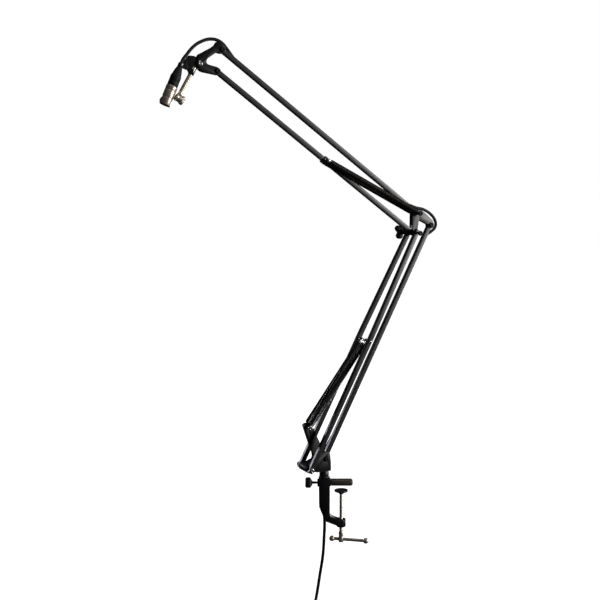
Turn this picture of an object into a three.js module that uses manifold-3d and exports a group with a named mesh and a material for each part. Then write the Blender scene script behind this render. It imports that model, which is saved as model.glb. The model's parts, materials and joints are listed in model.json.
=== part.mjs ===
// A spring-balanced desk boom arm for a microphone, with a desk clamp and a built-in balanced
// audio lead. Millimetres, +Z up. The origin is on the underside of the clamp's upper jaw, over
// the clamp screw. The clamp points along +X. The arm lies in one upright plane, turned by
// ARM_YAW about the swivel axis, and is written in that plane's own x and z.
import * as THREE from 'three';
import { mergeVertices } from 'three/addons/utils/BufferGeometryUtils.js';
import Module from 'manifold-3d';

const wasm = await Module();
wasm.setup();

// ---- driving dimensions -------------------------------------------------------------------
const GAP = 0.3; // between neighbours that touch
const ARM_LENGTH = 465; // pivot to pivot, both arms
const ARM_YAW = 25; // degrees, the arm's plane from the clamp's jaw
const LOWER_LEAN = 27.38; // degrees from upright
const FOREARM_RISE = 35.85; // degrees over level
const BASE_LINK = [36.5, 13.5]; // from the pair's foot pivot to the rear tube's
const ELBOW_LINK = [8.8, 35.1]; // from the elbow bolt to the top tube's pivot
const PIVOT_HEIGHT = 37.4; // the pair's foot pivot over the jaw's underside
const SWIVEL_X = -30.6; // the swivel axis from the clamp screw

const TUBE = 8.4; // square steel tube, outside
const TUBE_WALL = 0.7;
const TUBE_END = 6; // past a pivot
const PAIR_HALF = 20.8; // half the pair's spacing, up to the cross pin
const PAIR_HALF_TOP = 13.7; // and at the elbow
const CROSS_PIN_AT = 0.538; // share of the arm, from the foot
const COLLAR_AT = 0.47; // share of the forearm, from the elbow

const CHANNEL_INSIDE = 9; // between the cheeks of a pressed bracket
const SHEET = 1.4; // its steel
const BOLT = 2.4; // radius of the pivot bolts
const HOLE = BOLT + GAP;
const SPRING_RADIUS = 5;
const CABLE = 2.8; // radius of the audio lead
const CABLE_SIDES = 8;

// ---- small tools --------------------------------------------------------------------------
const rad = THREE.MathUtils.degToRad;
const at = (x, z) => new THREE.Vector2(x, z);
const in3 = (p, y = 0) => new THREE.Vector3(p.x, y, p.y);
const along = (p, direction, distance) => p.clone().addScaledVector(direction, distance);

function solidOf(geometry) {
  const bare = geometry.clone();
  bare.deleteAttribute('normal');
  bare.deleteAttribute('uv');
  const merged = mergeVertices(bare, 1e-4);
  return new wasm.Manifold(
    new wasm.Mesh({
      numProp: 3,
      vertProperties: new Float32Array(merged.attributes.position.array),
      triVerts: new Uint32Array(merged.index.array),
    }),
  );
}

function geometryOf(solid) {
  const mesh = solid.getMesh();
  const geometry = new THREE.BufferGeometry();
  geometry.setAttribute('position', new THREE.BufferAttribute(new Float32Array(mesh.vertProperties), 3));
  geometry.setIndex([...mesh.triVerts]);
  geometry.computeVertexNormals();
  return geometry;
}

const join = (...parts) => geometryOf(parts.map(solidOf).reduce((a, b) => a.add(b)));
const cut = (part, ...tools) => geometryOf(tools.map(solidOf).reduce((a, b) => a.subtract(b),
  solidOf(part)));

// A shape drawn in x and z, given thickness along y from y0 to y1.
function slab(shape, y0, y1, curveSegments = 6) {
  const geometry = new THREE.ExtrudeGeometry(shape, { depth: y1 - y0, bevelEnabled: false, curveSegments });
  return geometry.rotateX(Math.PI / 2).translate(0, y1, 0);
}

const outline = (...points) => new THREE.Shape(points.map(([x, z]) => at(x, z)));

// Two circles and their outer tangents.
function limb(a, b, ra, rb) {
  const toward = b.clone().sub(a);
  const turn = toward.angle();
  const spread = Math.acos((ra - rb) / toward.length());
  const shape = new THREE.Shape();
  shape.absarc(a.x, a.y, ra, turn + spread, turn - spread + 2 * Math.PI, false);
  shape.absarc(b.x, b.y, rb, turn - spread, turn + spread, false);
  return shape;
}

// A round bar along y through p.
function pin(p, radius, y0, y1, sides = 16) {
  return new THREE.CylinderGeometry(radius, radius, y1 - y0, sides).translate(p.x, (y0 + y1) / 2, p.y);
}

// A solid of revolution: [radius, height] pairs, turned onto the line from start toward end.
function turned(profile, start, end, sides = 16) {
  const points = profile.map(([r, h]) => at(r, h));
  if (THREE.ShapeUtils.area(points) < 0) points.reverse();
  const lathe = new THREE.LatheGeometry(points, sides);
  const axis = end.clone().sub(start).normalize();
  lathe.applyQuaternion(new THREE.Quaternion().setFromUnitVectors(new THREE.Vector3(0, 1, 0), axis));
  return lathe.translate(start.x, start.y, start.z);
}

// A bolt along y: a domed head at headY, a plain shank to tipY.
function bolt(p, headY, tipY, radius = BOLT) {
  const head = 3;
  const way = Math.sign(tipY - headY);
  const length = Math.abs(tipY - headY);
  const profile = [
    [0, 0], [radius * 1.2, 0], [radius * 1.9, head * 0.5], [radius * 1.9, head],
    [radius, head], [radius, length], [0, length],
  ];
  return turned(profile, in3(p, headY), in3(p, headY + way), 10);
}

function nut(p, y0, y1, radius = BOLT) {
  const ring = new THREE.Shape();
  for (let corner = 0; corner < 6; corner += 1) {
    const angle = (corner * Math.PI) / 3;
    const x = p.x + 2 * radius * Math.cos(angle);
    const z = p.y + 2 * radius * Math.sin(angle);
    if (corner) ring.lineTo(x, z);
    else ring.moveTo(x, z);
  }
  ring.holes.push(new THREE.Path().absarc(p.x, p.y, radius + GAP, 0, 2 * Math.PI, true));
  return slab(ring, y0, y1, 7);
}

// Square tube through 3-D points that share one in-plane normal.
function squareTube(points) {
  const run = points.at(-1).clone().sub(points[0]);
  const side = new THREE.Vector3(-run.z, 0, run.x).normalize();
  const depth = new THREE.Vector3(0, 1, 0);
  const corners = [[-1, -1], [1, -1], [1, 1], [-1, 1]];
  const position = [];
  for (const point of points) {
    for (const half of [TUBE / 2, TUBE / 2 - TUBE_WALL]) {
      for (const [a, b] of corners) {
        position.push(...point.clone().addScaledVector(side, a * half).addScaledVector(depth, b * half));
      }
    }
  }
  const index = [];
  const quad = (a, b, c, d) => index.push(a, b, c, a, c, d);
  const last = 8 * (points.length - 1);
  for (let k = 0; k < 4; k += 1) {
    const n = (k + 1) % 4;
    for (let s = 0; s < last; s += 8) {
      quad(s + n, s + k, s + 8 + k, s + 8 + n);
      quad(s + 4 + k, s + 4 + n, s + 12 + n, s + 12 + k);
    }
    quad(k, n, 4 + n, 4 + k);
    quad(last + n, last + k, last + 4 + k, last + 4 + n);
  }
  const geometry = new THREE.BufferGeometry();
  geometry.setAttribute('position', new THREE.BufferAttribute(new Float32Array(position), 3));
  geometry.setIndex(index);
  return geometryOf(solidOf(geometry));
}

// The lead: a round section swept along a smooth curve.
function lead(points, steps, radius = CABLE) {
  const section = new THREE.Shape();
  for (let side = 0; side < CABLE_SIDES; side += 1) {
    const angle = ((side + 0.5) / CABLE_SIDES) * 2 * Math.PI;
    const [x, y] = [radius * Math.cos(angle), radius * Math.sin(angle)];
    if (side) section.lineTo(x, y);
    else section.moveTo(x, y);
  }
  const extrudePath = new THREE.CatmullRomCurve3(points, false, 'centripetal');
  return new THREE.ExtrudeGeometry(section, { steps, bevelEnabled: false, extrudePath });
}

const PAINT = { color: 0x1c1c1e, roughness: 0.4, metalness: 0.2 };
const STEEL = { color: 0xb9b4aa, roughness: 0.25, metalness: 1 };
const PLASTIC = { color: 0x0d0d0e, roughness: 0.5, metalness: 0 };
const SPRING = { color: 0x241f1f, roughness: 0.35, metalness: 0.7 };
const RUBBER = { color: 0x101010, roughness: 0.7, metalness: 0 };

function add(group, name, geometry, finish) {
  const mesh = new THREE.Mesh(geometry, new THREE.MeshStandardMaterial(finish));
  mesh.name = name;
  group.add(mesh);
}

// ---- the linkage's pivots, in the arm's plane -----------------------------------------------
const baseLink = at(...BASE_LINK);
const elbowLink = at(...ELBOW_LINK);
const lowerRun = at(Math.sin(rad(LOWER_LEAN)), Math.cos(rad(LOWER_LEAN)));
const forearmRun = at(-Math.cos(rad(FOREARM_RISE)), Math.sin(rad(FOREARM_RISE)));
const forearmUp = at(forearmRun.y, -forearmRun.x); // across the forearm, upward
const lowerRight = at(lowerRun.y, -lowerRun.x); // across the lower arm, away from the head

const pairFoot = at(-baseLink.x, PIVOT_HEIGHT);
const rearFoot = pairFoot.clone().add(baseLink);
const pairTop = along(pairFoot, lowerRun, ARM_LENGTH);
const rearTop = pairTop.clone().add(baseLink);
const topTubeBack = pairTop.clone().add(elbowLink);
const bottomTubeFront = along(pairTop, forearmRun, ARM_LENGTH);
const topTubeFront = bottomTubeFront.clone().add(elbowLink);
const crossPin = along(pairFoot, lowerRun, CROSS_PIN_AT * ARM_LENGTH);
const springFoot = pairFoot.clone().add(at(3.2, 73));
const collar = along(pairTop, forearmRun, COLLAR_AT * ARM_LENGTH);
const tilt = topTubeFront.clone().add(at(-39.8, -24.5));

// ---- clamp ----------------------------------------------------------------------------------
const JAW_THICK = 12.4;
const JAW_TIP = 20.7;
const UPRIGHT_HALF = 10;
const UPRIGHT_TOP = 15;
const BOSS_TOP = -61;
const BOSS_BOTTOM = -75.5;
const BOSS = 8.5;
const SCREW = 3.3;
const PAD_TOP = -7.8;
const PAD_POCKET = 2.4;
const HEAD_TOP = -85.2;
const HEAD_BOTTOM = -104.2;
const BAR_Z = -99;
const BAR_TURN = 13; // degrees, the sliding bar's near end toward the front
const THUMB_Z = 5.4;
const POST = 5;
const POST_BOTTOM = -25;

function clampFrame() {
  const right = SWIVEL_X + UPRIGHT_HALF;
  const left = SWIVEL_X - UPRIGHT_HALF;
  const side = new THREE.Shape();
  side.moveTo(left, UPRIGHT_TOP);
  side.lineTo(left + 0.8, -37);
  side.lineTo(-32, -56.5);
  side.quadraticCurveTo(-30, -62.5, -26, -64.6);
  side.lineTo(0, -74.7);
  side.lineTo(4, -63);
  side.quadraticCurveTo(-12, -61.5, right, -53);
  side.lineTo(right, UPRIGHT_TOP);
  const jawRoot = new THREE.CylinderGeometry(JAW_THICK / 2 + 0.9, JAW_THICK / 2 + 0.9, 3, 20)
    .rotateZ(Math.PI / 2).translate(right + 1, 0, JAW_THICK / 2);
  const boss = turned(
    [[0, 0], [BOSS - 0.7, 0], [BOSS, 1], [BOSS, BOSS_TOP - BOSS_BOTTOM - 1],
    [BOSS - 0.7, BOSS_TOP - BOSS_BOTTOM], [0, BOSS_TOP - BOSS_BOTTOM]],
    new THREE.Vector3(0, 0, BOSS_BOTTOM), new THREE.Vector3(0, 0, 0), 20,
  );
  const lockBoss = new THREE.CylinderGeometry(7.2, 7.2, 4, 20).rotateZ(Math.PI / 2)
    .translate(left - 0.4, 0, THUMB_Z);
  const screwBore = turned([[0, 0], [SCREW + GAP, 0], [SCREW + GAP, 60], [0, 60]],
    new THREE.Vector3(0, 0, -90), new THREE.Vector3(0, 0, 0), 16);
  const postBore = turned([[0, 0], [POST + GAP, 0], [POST + GAP, 60], [0, 60]],
    new THREE.Vector3(SWIVEL_X, 0, POST_BOTTOM - GAP), new THREE.Vector3(SWIVEL_X, 0, 90), 20);
  const thumbBore = new THREE.CylinderGeometry(2.65, 2.65, UPRIGHT_HALF + 2, 14)
    .rotateZ(Math.PI / 2).translate(left + 2.5, 0, THUMB_Z);
  const jawBore = new THREE.CylinderGeometry(4 + GAP, 4 + GAP, 8, 16)
    .rotateZ(Math.PI / 2).translate(right + 0.8, 0, JAW_THICK / 2);
  const saddleHole = new THREE.CylinderGeometry(1.8, 1.8, 5, 12).translate(SWIVEL_X, 9.5, -37);
  return cut(join(slab(side, -9.5, 9.5), jawRoot, boss, lockBoss),
    screwBore, postBore, thumbBore, jawBore, saddleHole);
}

// A round bar with a flat milled along its underside, on a spigot in the upright.
function upperJaw() {
  const start = SWIVEL_X + UPRIGHT_HALF + 2.5 + GAP;
  const r = JAW_THICK / 2 + 0.4;
  const bar = turned(
    [[0, -5], [4, -5], [4, 0], [r, 0], [r, JAW_TIP - start - 2.5], [r - 2, JAW_TIP - start],
    [0, JAW_TIP - start]],
    new THREE.Vector3(start, 0, r), new THREE.Vector3(JAW_TIP, 0, r), 20,
  );
  const under = new THREE.BoxGeometry(60, 20, 10).translate(0, 0, -5);
  return cut(bar.translate(0, 0, -0.4), under);
}

function thumbscrew() {
  const knobLeft = -64.7;
  const reach = SWIVEL_X - POST - GAP - knobLeft;
  return turned(
    [[0, 0], [7.2, 0], [9.5, 1.8], [9.5, 9.2], [6.2, 11], [3.8, 13], [2.35, 13], [2.35, reach],
    [0, reach]],
    new THREE.Vector3(knobLeft, 0, THUMB_Z), new THREE.Vector3(0, 0, THUMB_Z), 14,
  );
}

function clampPad() {
  const down = new THREE.Vector3(0, 0, -90);
  return turned(
    [[0, 0], [11.6, 0], [12.4, 0.8], [12.4, 2.8], [7.5, 4.4], [4.5, 5.4], [4.5, 7.4],
    [SCREW + 0.2 + GAP, 7.4], [SCREW + 0.2 + GAP, PAD_POCKET], [0, PAD_POCKET]],
    new THREE.Vector3(0, 0, PAD_TOP), down, 24,
  );
}

function clampScrew() {
  const top = PAD_TOP - PAD_POCKET - GAP;
  const length = top - (HEAD_TOP - 8);
  return turned([[0, 0], [SCREW, 0], [SCREW, length], [0, length]],
    new THREE.Vector3(0, 0, top), new THREE.Vector3(0, 0, -200), 16);
}

function screwHead() {
  const length = HEAD_TOP - HEAD_BOTTOM;
  const sleeve = turned(
    [[0, 8 + GAP], [SCREW + GAP, 8 + GAP], [SCREW + GAP, 0], [4.1, 0], [4.4, 0.8], [4.4, length - 0.8],
    [4, length], [0, length]],
    new THREE.Vector3(0, 0, HEAD_TOP), new THREE.Vector3(0, 0, -200), 20,
  );
  const barBore = new THREE.CylinderGeometry(1.9 + GAP, 1.9 + GAP, 20, 12)
    .rotateZ(Math.PI / 2 - rad(BAR_TURN)).translate(0, 0, BAR_Z);
  return cut(sleeve, barBore);
}

const BAR_MIDDLE = 14.3;
const BAR_HALF = 31;

function tommyBar() {
  const ball = 5.2;
  const sweep = 2.76;
  const profile = [];
  for (const end of [-1, 1]) {
    const steps = 7;
    for (let k = 0; k <= steps; k += 1) {
      const angle = end < 0 ? (k / steps) * sweep : Math.PI - sweep + (k / steps) * sweep;
      profile.push([ball * Math.sin(angle), end * BAR_HALF - ball * Math.cos(angle)]);
    }
  }
  profile[0][0] = 0;
  profile.at(-1)[0] = 0;
  const start = new THREE.Vector3(BAR_MIDDLE, 0, BAR_Z);
  return turned(profile, start, start.clone().setX(90), 14).rotateZ(-rad(BAR_TURN));
}

const SADDLE_Y = 15.6;
const SADDLE_Z = -30;

// A P-clip on the back of the upright, with its screw, that holds the lead.
function cableSaddle() {
  const ring = turned(
    [[CABLE + GAP, 0], [CABLE + 1.8, 0], [CABLE + 1.8, 8], [CABLE + GAP, 8], [CABLE + GAP, 0]],
    new THREE.Vector3(SWIVEL_X, SADDLE_Y, SADDLE_Z - 8), new THREE.Vector3(SWIVEL_X, SADDLE_Y, 0), 16,
  );
  const foot = new THREE.BoxGeometry(7, 2, 20).translate(SWIVEL_X, 9.5 + GAP + 1, SADDLE_Z - 9);
  const shank = new THREE.CylinderGeometry(1.4, 1.4, 3.5, 12).translate(SWIVEL_X, 9.5, SADDLE_Z - 7);
  return cut(join(ring, foot, shank), new THREE.CylinderGeometry(CABLE + GAP, CABLE + GAP, 40, 16)
    .rotateX(Math.PI / 2).translate(SWIVEL_X, SADDLE_Y, SADDLE_Z - 4));
}

function buildClamp(group) {
  add(group, 'clamp_frame', clampFrame(), PAINT);
  add(group, 'upper_jaw', upperJaw(), PAINT);
  add(group, 'thumbscrew', thumbscrew(), PLASTIC);
  add(group, 'clamp_pad', clampPad(), PLASTIC);
  add(group, 'clamp_screw', clampScrew(), STEEL);
  add(group, 'screw_head', screwHead(), STEEL);
  add(group, 'tommy_bar', tommyBar(), STEEL);
  add(group, 'cable_saddle', cableSaddle(), PLASTIC);
}

// ---- base bracket and post --------------------------------------------------------------------
const CHEEK = 8.5; // half the bracket's depth
const BRACKET_BOTTOM = PIVOT_HEIGHT - 9.5;

function swivelPost() {
  const bottom = POST_BOTTOM;
  const collarBottom = UPRIGHT_TOP + GAP - bottom;
  const collarTop = BRACKET_BOTTOM - GAP - bottom;
  return turned(
    [[0, 0], [POST - 0.6, 0], [POST, 1], [POST, collarBottom], [8.9, collarBottom], [8.9, collarTop - 5],
      [7.9, collarTop], [4, collarTop], [4, collarTop + 8], [0, collarTop + 8]],
    new THREE.Vector3(0, 0, bottom), new THREE.Vector3(0, 0, 200), 20,
  );
}

function baseBracket() {
  const p = (x, z) => [pairFoot.x + x, pairFoot.y + z];
  const body = slab(outline(
    p(-1, -7.5), p(12, -7.8), p(18, -9.5), p(45.2, -9.5), p(46, -6), p(45.6, 8), p(43.8, 22), p(39, 26),
    p(28.4, 26), p(16.4, 19), p(13.6, 13.2), p(-3, 6.8),
  ), -CHEEK, CHEEK);
  const barrel = pin(pairFoot, 7.4, -(PAIR_HALF - TUBE / 2 - GAP), PAIR_HALF - TUBE / 2 - GAP, 20);
  const shoulder = pairFoot.clone().add(at(19, 34));
  const lug = slab(limb(shoulder, springFoot, 10.2, 8), -3, 3);
  const lugRoot = slab(outline(p(14, 14), p(28.4, 20), p(28.9, 34), p(10, 34)), -3, 3);
  const slot = slab(outline(p(28.7, 5.2), p(60, 5.2), p(60, 60), p(28.7, 60)),
    -CHANNEL_INSIDE / 2, CHANNEL_INSIDE / 2);
  const post = turned([[0, 0], [4 + GAP, 0], [4 + GAP, 9], [0, 9]],
    new THREE.Vector3(0, 0, BRACKET_BOTTOM - 1), new THREE.Vector3(0, 0, 200), 20);
  return cut(
    join(body, barrel, lug, lugRoot), slot, post,
    pin(pairFoot, HOLE, -40, 40), pin(rearFoot, HOLE, -40, 40), pin(springFoot, HOLE, -40, 40),
  );
}

function buildBase(group) {
  const pairFace = PAIR_HALF + TUBE / 2 + GAP;
  add(group, 'swivel_post', swivelPost(), PAINT);
  add(group, 'base_bracket', baseBracket(), PAINT);
  add(group, 'shoulder_pair_bolt', bolt(pairFoot, -pairFace - 3, pairFace + 4.5), STEEL);
  add(group, 'shoulder_pair_nut', nut(pairFoot, pairFace, pairFace + 4), STEEL);
  add(group, 'shoulder_rear_bolt', bolt(rearFoot, -CHEEK - GAP - 3, CHEEK), PAINT);
  add(group, 'lower_spring_bolt', bolt(springFoot, -14.5, 15), STEEL);
  add(group, 'lower_spring_nut', nut(springFoot, 10.8, 14), STEEL);
}

// ---- lower arm ----------------------------------------------------------------------------------
function pairTube(side) {
  const points = [
    in3(along(pairFoot, lowerRun, -TUBE_END), side * PAIR_HALF),
    in3(crossPin, side * PAIR_HALF),
    in3(along(pairTop, lowerRun, TUBE_END), side * PAIR_HALF_TOP),
  ];
  return cut(
    squareTube(points),
    pin(pairFoot, HOLE, -40, 40), pin(pairTop, HOLE + 0.2, -40, 40), pin(crossPin, 2 + GAP, -40, 40),
  );
}

function rearTube() {
  const tube = squareTube([along(rearFoot, lowerRun, -TUBE_END),
    along(rearTop, lowerRun, TUBE_END)].map((p) => in3(p)));
  const slotWidth = CABLE + GAP + 0.2;
  const across = (d, n) => {
    const p = along(along(rearTop, lowerRun, -d), lowerRight, n);
    return [p.x, p.y];
  };
  const topSlot = slab(outline(across(6, 1), across(6, 9), across(36, 9), across(36, 1)),
    -slotWidth, slotWidth);
  const footSlot = [64, 28].map((d) => along(rearFoot, lowerRun, d));
  const half = lowerRight.clone().multiplyScalar(slotWidth);
  const ring = [footSlot[0].clone().add(half), footSlot[1].clone().add(half),
    footSlot[1].clone().sub(half), footSlot[0].clone().sub(half)];
  return cut(
    tube, pin(rearFoot, HOLE, -40, 40), pin(rearTop, HOLE, -40, 40), topSlot,
    slab(new THREE.Shape(ring), 1, 9),
  );
}

// A tension spring between two pins, as its plain outer cylinder with eyes at its ends.
function springBody(from, to, y, endGap) {
  const start = in3(from, y);
  const end = in3(to, y);
  const length = end.distanceTo(start);
  return turned(
    [[0, endGap], [1.2, endGap], [1.2, endGap + 2.5], [SPRING_RADIUS, endGap + 4.5],
      [SPRING_RADIUS, length - endGap - 4.5], [1.2, length - endGap - 2.5], [1.2, length - endGap],
      [0, length - endGap]],
    start, end, 12,
  );
}

function buildLowerArm(group) {
  const sides = { near: -1, far: 1 };
  for (const [name, side] of Object.entries(sides)) {
    add(group, `pair_tube_${name}`, pairTube(side), PAINT);
    add(group, `lower_spring_${name}`, springBody(springFoot, crossPin, side * 9, BOLT + 0.6), SPRING);
  }
  add(group, 'mid_cross_pin', pin(crossPin, 2, -(PAIR_HALF + TUBE / 2 + 2.5),
    PAIR_HALF + TUBE / 2 + 2.5, 12), STEEL);
  add(group, 'rear_tube', rearTube(), PAINT);
}

// ---- elbow ----------------------------------------------------------------------------------------
function cheeks(shape, holes) {
  const inner = CHANNEL_INSIDE / 2;
  const plates = [[-inner - SHEET, -inner], [inner, inner + SHEET]].map(([a, b]) => slab(shape, a, b));
  return { plates, drills: holes.map((p) => pin(p, HOLE, -40, 40)) };
}

function elbowBracket() {
  const p = (x, z) => [pairTop.x + x, pairTop.y + z];
  const face = outline(
    p(-3.4, -3.6), p(0, -5.2), p(3.6, -4.6), p(7.2, -1), p(8, 5), p(10.3, 20.3), p(12.4, 23), p(31, 14.4),
    p(31.5, 9), p(36, 6.6), p(41.5, 9), p(43, 15), p(39, 22.8), p(21.6, 37), p(15, 41), p(6, 41.6),
    p(-1, 39),
    p(-2.6, 34), p(-2.8, 3),
  );
  const { plates, drills } = cheeks(face, [pairTop, rearTop, topTubeBack]);
  const half = CHANNEL_INSIDE / 2 + SHEET;
  const leftWeb = slab(outline(p(-2.7, 13.5), p(-1.3, 13.5), p(-1.2, 24), p(-2.6, 24)), -half, half);
  const topWeb = slab(outline(p(39, 22.8), p(21.6, 37), p(20.7, 35.9), p(38.1, 21.7)), -half, half);
  return cut(join(...plates, leftWeb, topWeb), ...drills);
}

function elbowKnob() {
  const hub = pairTop;
  const lobes = [10, 130, 250].map((angle) => {
    const tip = hub.clone().add(at(9.6 * Math.cos(rad(angle)), 9.6 * Math.sin(rad(angle))));
    return slab(limb(hub, tip, 6.8, 4.7), 36.5, 47, 6);
  });
  const boss = pin(hub, 5, 33, 48, 16);
  return cut(join(...lobes, boss), pin(hub, BOLT + GAP, 30, 43));
}

function spacer(p, y0, y1, radius) {
  return cut(pin(p, radius, y0, y1, 16), pin(p, HOLE, y0 - 1, y1 + 1));
}

function buildElbow(group) {
  const inner = CHANNEL_INSIDE / 2 + SHEET + GAP;
  const outer = PAIR_HALF_TOP - TUBE / 2 - 1;
  add(group, 'elbow_bracket', elbowBracket(), PAINT);
  add(group, 'elbow_spacer_near', spacer(pairTop, -outer, -inner, 4.6), PLASTIC);
  add(group, 'elbow_spacer_far', spacer(pairTop, inner, outer, 4.6), PLASTIC);
  add(group, 'elbow_bolt', bolt(pairTop, -31, 42), PAINT);
  add(group, 'elbow_sleeve', spacer(pairTop, PAIR_HALF_TOP + TUBE / 2 + 1, 29, 4.4), PLASTIC);
  add(group, 'elbow_top_bolt', bolt(topTubeBack, -16.5, 16), PAINT);
  add(group, 'elbow_rear_bolt', bolt(rearTop, -inner - 3, inner + 3), PAINT);
  add(group, 'elbow_knob', elbowKnob(), PLASTIC);
}

// ---- forearm ----------------------------------------------------------------------------------------
function topTube() {
  const ends = [along(topTubeBack, forearmRun, -TUBE_END), along(topTubeFront, forearmRun, TUBE_END)];
  const slotWidth = CABLE + GAP + 0.2;
  const slots = [[topTubeFront, -1], [topTubeBack, 1]].map(([end, way]) => {
    const corner = (d, n) => {
      const p = along(along(end, forearmRun, way * d), forearmUp, n);
      return [p.x, p.y];
    };
    return slab(outline(corner(6, 1), corner(6, 9), corner(38, 9), corner(38, 1)), -slotWidth, slotWidth);
  });
  return cut(
    squareTube(ends.map((p) => in3(p))),
    pin(topTubeBack, HOLE, -40, 40), pin(topTubeFront, HOLE, -40, 40), ...slots,
  );
}

function bottomTube() {
  const ends = [along(pairTop, forearmRun, -TUBE_END), along(bottomTubeFront, forearmRun, TUBE_END)];
  return cut(
    squareTube(ends.map((p) => in3(p))),
    pin(pairTop, HOLE, -40, 40), pin(bottomTubeFront, HOLE + 0.2, -40, 40), pin(collar, 2 + GAP, -40, 40),
  );
}

// A folded steel saddle round the bottom tube, open below; the springs' pin holds it.
function springCollar() {
  const corner = (s, n) => {
    const p = along(along(collar, forearmRun, s), forearmUp, n);
    return [p.x, p.y];
  };
  const half = TUBE / 2 + GAP;
  const skin = half + 1.3;
  const block = slab(outline(corner(-5.5, -3.6), corner(-3.4, -skin), corner(3.4, -skin), corner(5.5, -3.6),
    corner(5.5, skin), corner(-5.5, skin)), -skin, skin);
  const room = slab(outline(corner(-9, -9), corner(9, -9), corner(9, half), corner(-9, half)),
    -half, half);
  return cut(block, room, pin(collar, 2 + GAP, -40, 40));
}

function buildForearm(group) {
  add(group, 'forearm_top_tube', topTube(), PAINT);
  add(group, 'forearm_bottom_tube', bottomTube(), PAINT);
  add(group, 'spring_collar', springCollar(), PAINT);
  add(group, 'collar_pin', pin(collar, 2, -16.5, 16.5, 12), STEEL);
  for (const [name, side] of Object.entries({ near: -1, far: 1 })) {
    add(group, `forearm_spring_${name}`, springBody(topTubeBack, collar, side * 11.5, BOLT + 0.6),
      SPRING);
  }
}

// ---- head: bracket, tilting knuckle, thread and audio connector ---------------------------------
const rodRun = at(-0.5, -0.866); // down the rod
const rodSide = at(0.866, -0.5);
const rodFoot = tilt.clone().add(at(-8.6, -8.2));
const adapter = tilt.clone().add(at(-36, -56.2));
const plugRun = at(0.391, 0.92); // from the connector's mouth to its lead
const mouth = tilt.clone().add(at(-58.8, -68.1));
const CLIP_AT = 70.5; // along the connector from its mouth
const FORK_ROOM = 15; // the knuckle's barrel clears the head bracket's cheeks
const NECK = 5.4; // the barrel's radius round the rod

function headBracket() {
  const p = (x, z) => [tilt.x + x, tilt.y + z];
  const face = outline(
    p(-0.9, 15.1), p(6.8, 19), p(14, 23.1), p(21.2, 26.9), p(28, 31.5), p(30.6, 36.7), p(34.5, 38.6),
    p(41, 33.1), p(45.4, 28), p(45.6, 22), p(41.5, 18.5), p(37.2, 18.3), p(30.2, 20), p(22.9, 15.1),
    p(15.8, 10.3), p(12.6, 7.7), p(11.3, 3.6), p(12.6, 0.2), p(15.8, -1), p(23, -2.6), p(30.2, -4.1),
    p(34.7, -7.1), p(36.4, -11.2), p(32.4, -16.9), p(25.7, -15.9), p(13, -13.9), p(6.5, -13),
    p(1.4, -11), p(-3.1, -6.2), p(-4.9, 0.3), p(-4.2, 8.5),
  );
  const { plates, drills } = cheeks(face, [topTubeFront, bottomTubeFront, tilt]);
  const half = CHANNEL_INSIDE / 2 + SHEET;
  const web = slab(outline(p(8.4, -7), p(12.4, -5), p(12.2, 0), p(10.8, 3.6), p(11.8, 7.5), p(8.6, 7.5)),
    -half, half);
  return cut(join(...plates, web), ...drills);
}

function knuckle() {
  const p = (x, z) => [tilt.x + x, tilt.y + z];
  const tongue = slab(outline(
    p(-19.8, 9.4), p(-17, 12.4), p(-8, 11.8), p(0, 6.6), p(4.7, 4.7), p(6.6, 0), p(4.7, -4.7), p(0, -6.6),
    p(-6, -10.5), p(-8.6, -15.3), p(-11.6, -18.6), p(-15.4, -17.2), p(-19.8, -9.9),
  ), -3.7, 3.7);
  const barrel = turned([[0, 0], [NECK - 0.6, 0], [NECK, 1], [NECK, 16], [0, 16]],
    in3(along(rodFoot, rodRun, 11.5)), in3(along(rodFoot, rodRun, -20)), 16);
  const bore = turned([[0, 0], [4 + GAP, 0], [4 + GAP, 14.6], [0, 14.6]],
    in3(along(rodFoot, rodRun, 12.5)), in3(along(rodFoot, rodRun, -20)), 16);
  const trimmed = cut(barrel, pin(tilt, FORK_ROOM, -9, 9, 24));
  return cut(join(tongue, trimmed), bore, pin(tilt, HOLE, -40, 40));
}

function threadRod() {
  const top = along(rodFoot, rodRun, -1.5);
  const length = adapter.distanceTo(top) - 6.4 - GAP;
  return turned([[0, 0], [4, 0], [4, length], [0, length]], in3(top), in3(along(top, rodRun, 10)), 16);
}

// The cross barrel at the rod's end, drilled for the holder's stud, and its knurled ring.
function threadBarrel() {
  const start = along(adapter, rodSide, -5);
  return turned(
    [[2.8, 0], [5.6, 0], [6.2, 0.8], [6.2, 10], [2.8, 10], [2.8, 0]],
    in3(start), in3(along(start, rodSide, 10)), 20,
  );
}

function threadRing() {
  const start = along(adapter, rodSide, 5 + GAP);
  return turned(
    [[0, -7], [2.4, -7], [2.4, 0], [7.6, 0], [7.6, 4.2], [6.8, 5], [0, 5]],
    in3(start), in3(along(start, rodSide, 10)), 20,
  );
}

const plugAt = (distance) => along(mouth, plugRun, distance);

function cableClip() {
  const half = 3.2;
  const ring = turned(
    [[CABLE + GAP, 0], [CABLE + 1.6, 0], [CABLE + 1.6, 2 * half], [CABLE + GAP, 2 * half], [CABLE + GAP, 0]],
    in3(plugAt(CLIP_AT - half)), in3(plugAt(CLIP_AT + half)), 16,
  );
  const p = (x, z) => [tilt.x + x, tilt.y + z];
  const arm = slab(outline(p(-31, -4.6), p(-29, -7.4), p(-21.5, -10.3), p(-20.1, -10.3), p(-20.1, 9),
    p(-23.4, 5), p(-27.2, -1.2)), -3.4, 3.4);
  const bore = turned([[0, 0], [CABLE + GAP, 0], [CABLE + GAP, 40], [0, 40]],
    in3(plugAt(CLIP_AT - 20)), in3(plugAt(CLIP_AT)), 16);
  return cut(join(ring, arm), bore);
}

const SHELL = 9.5;
const SHELL_LENGTH = 33;
const BOOT_END = 66;

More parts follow.
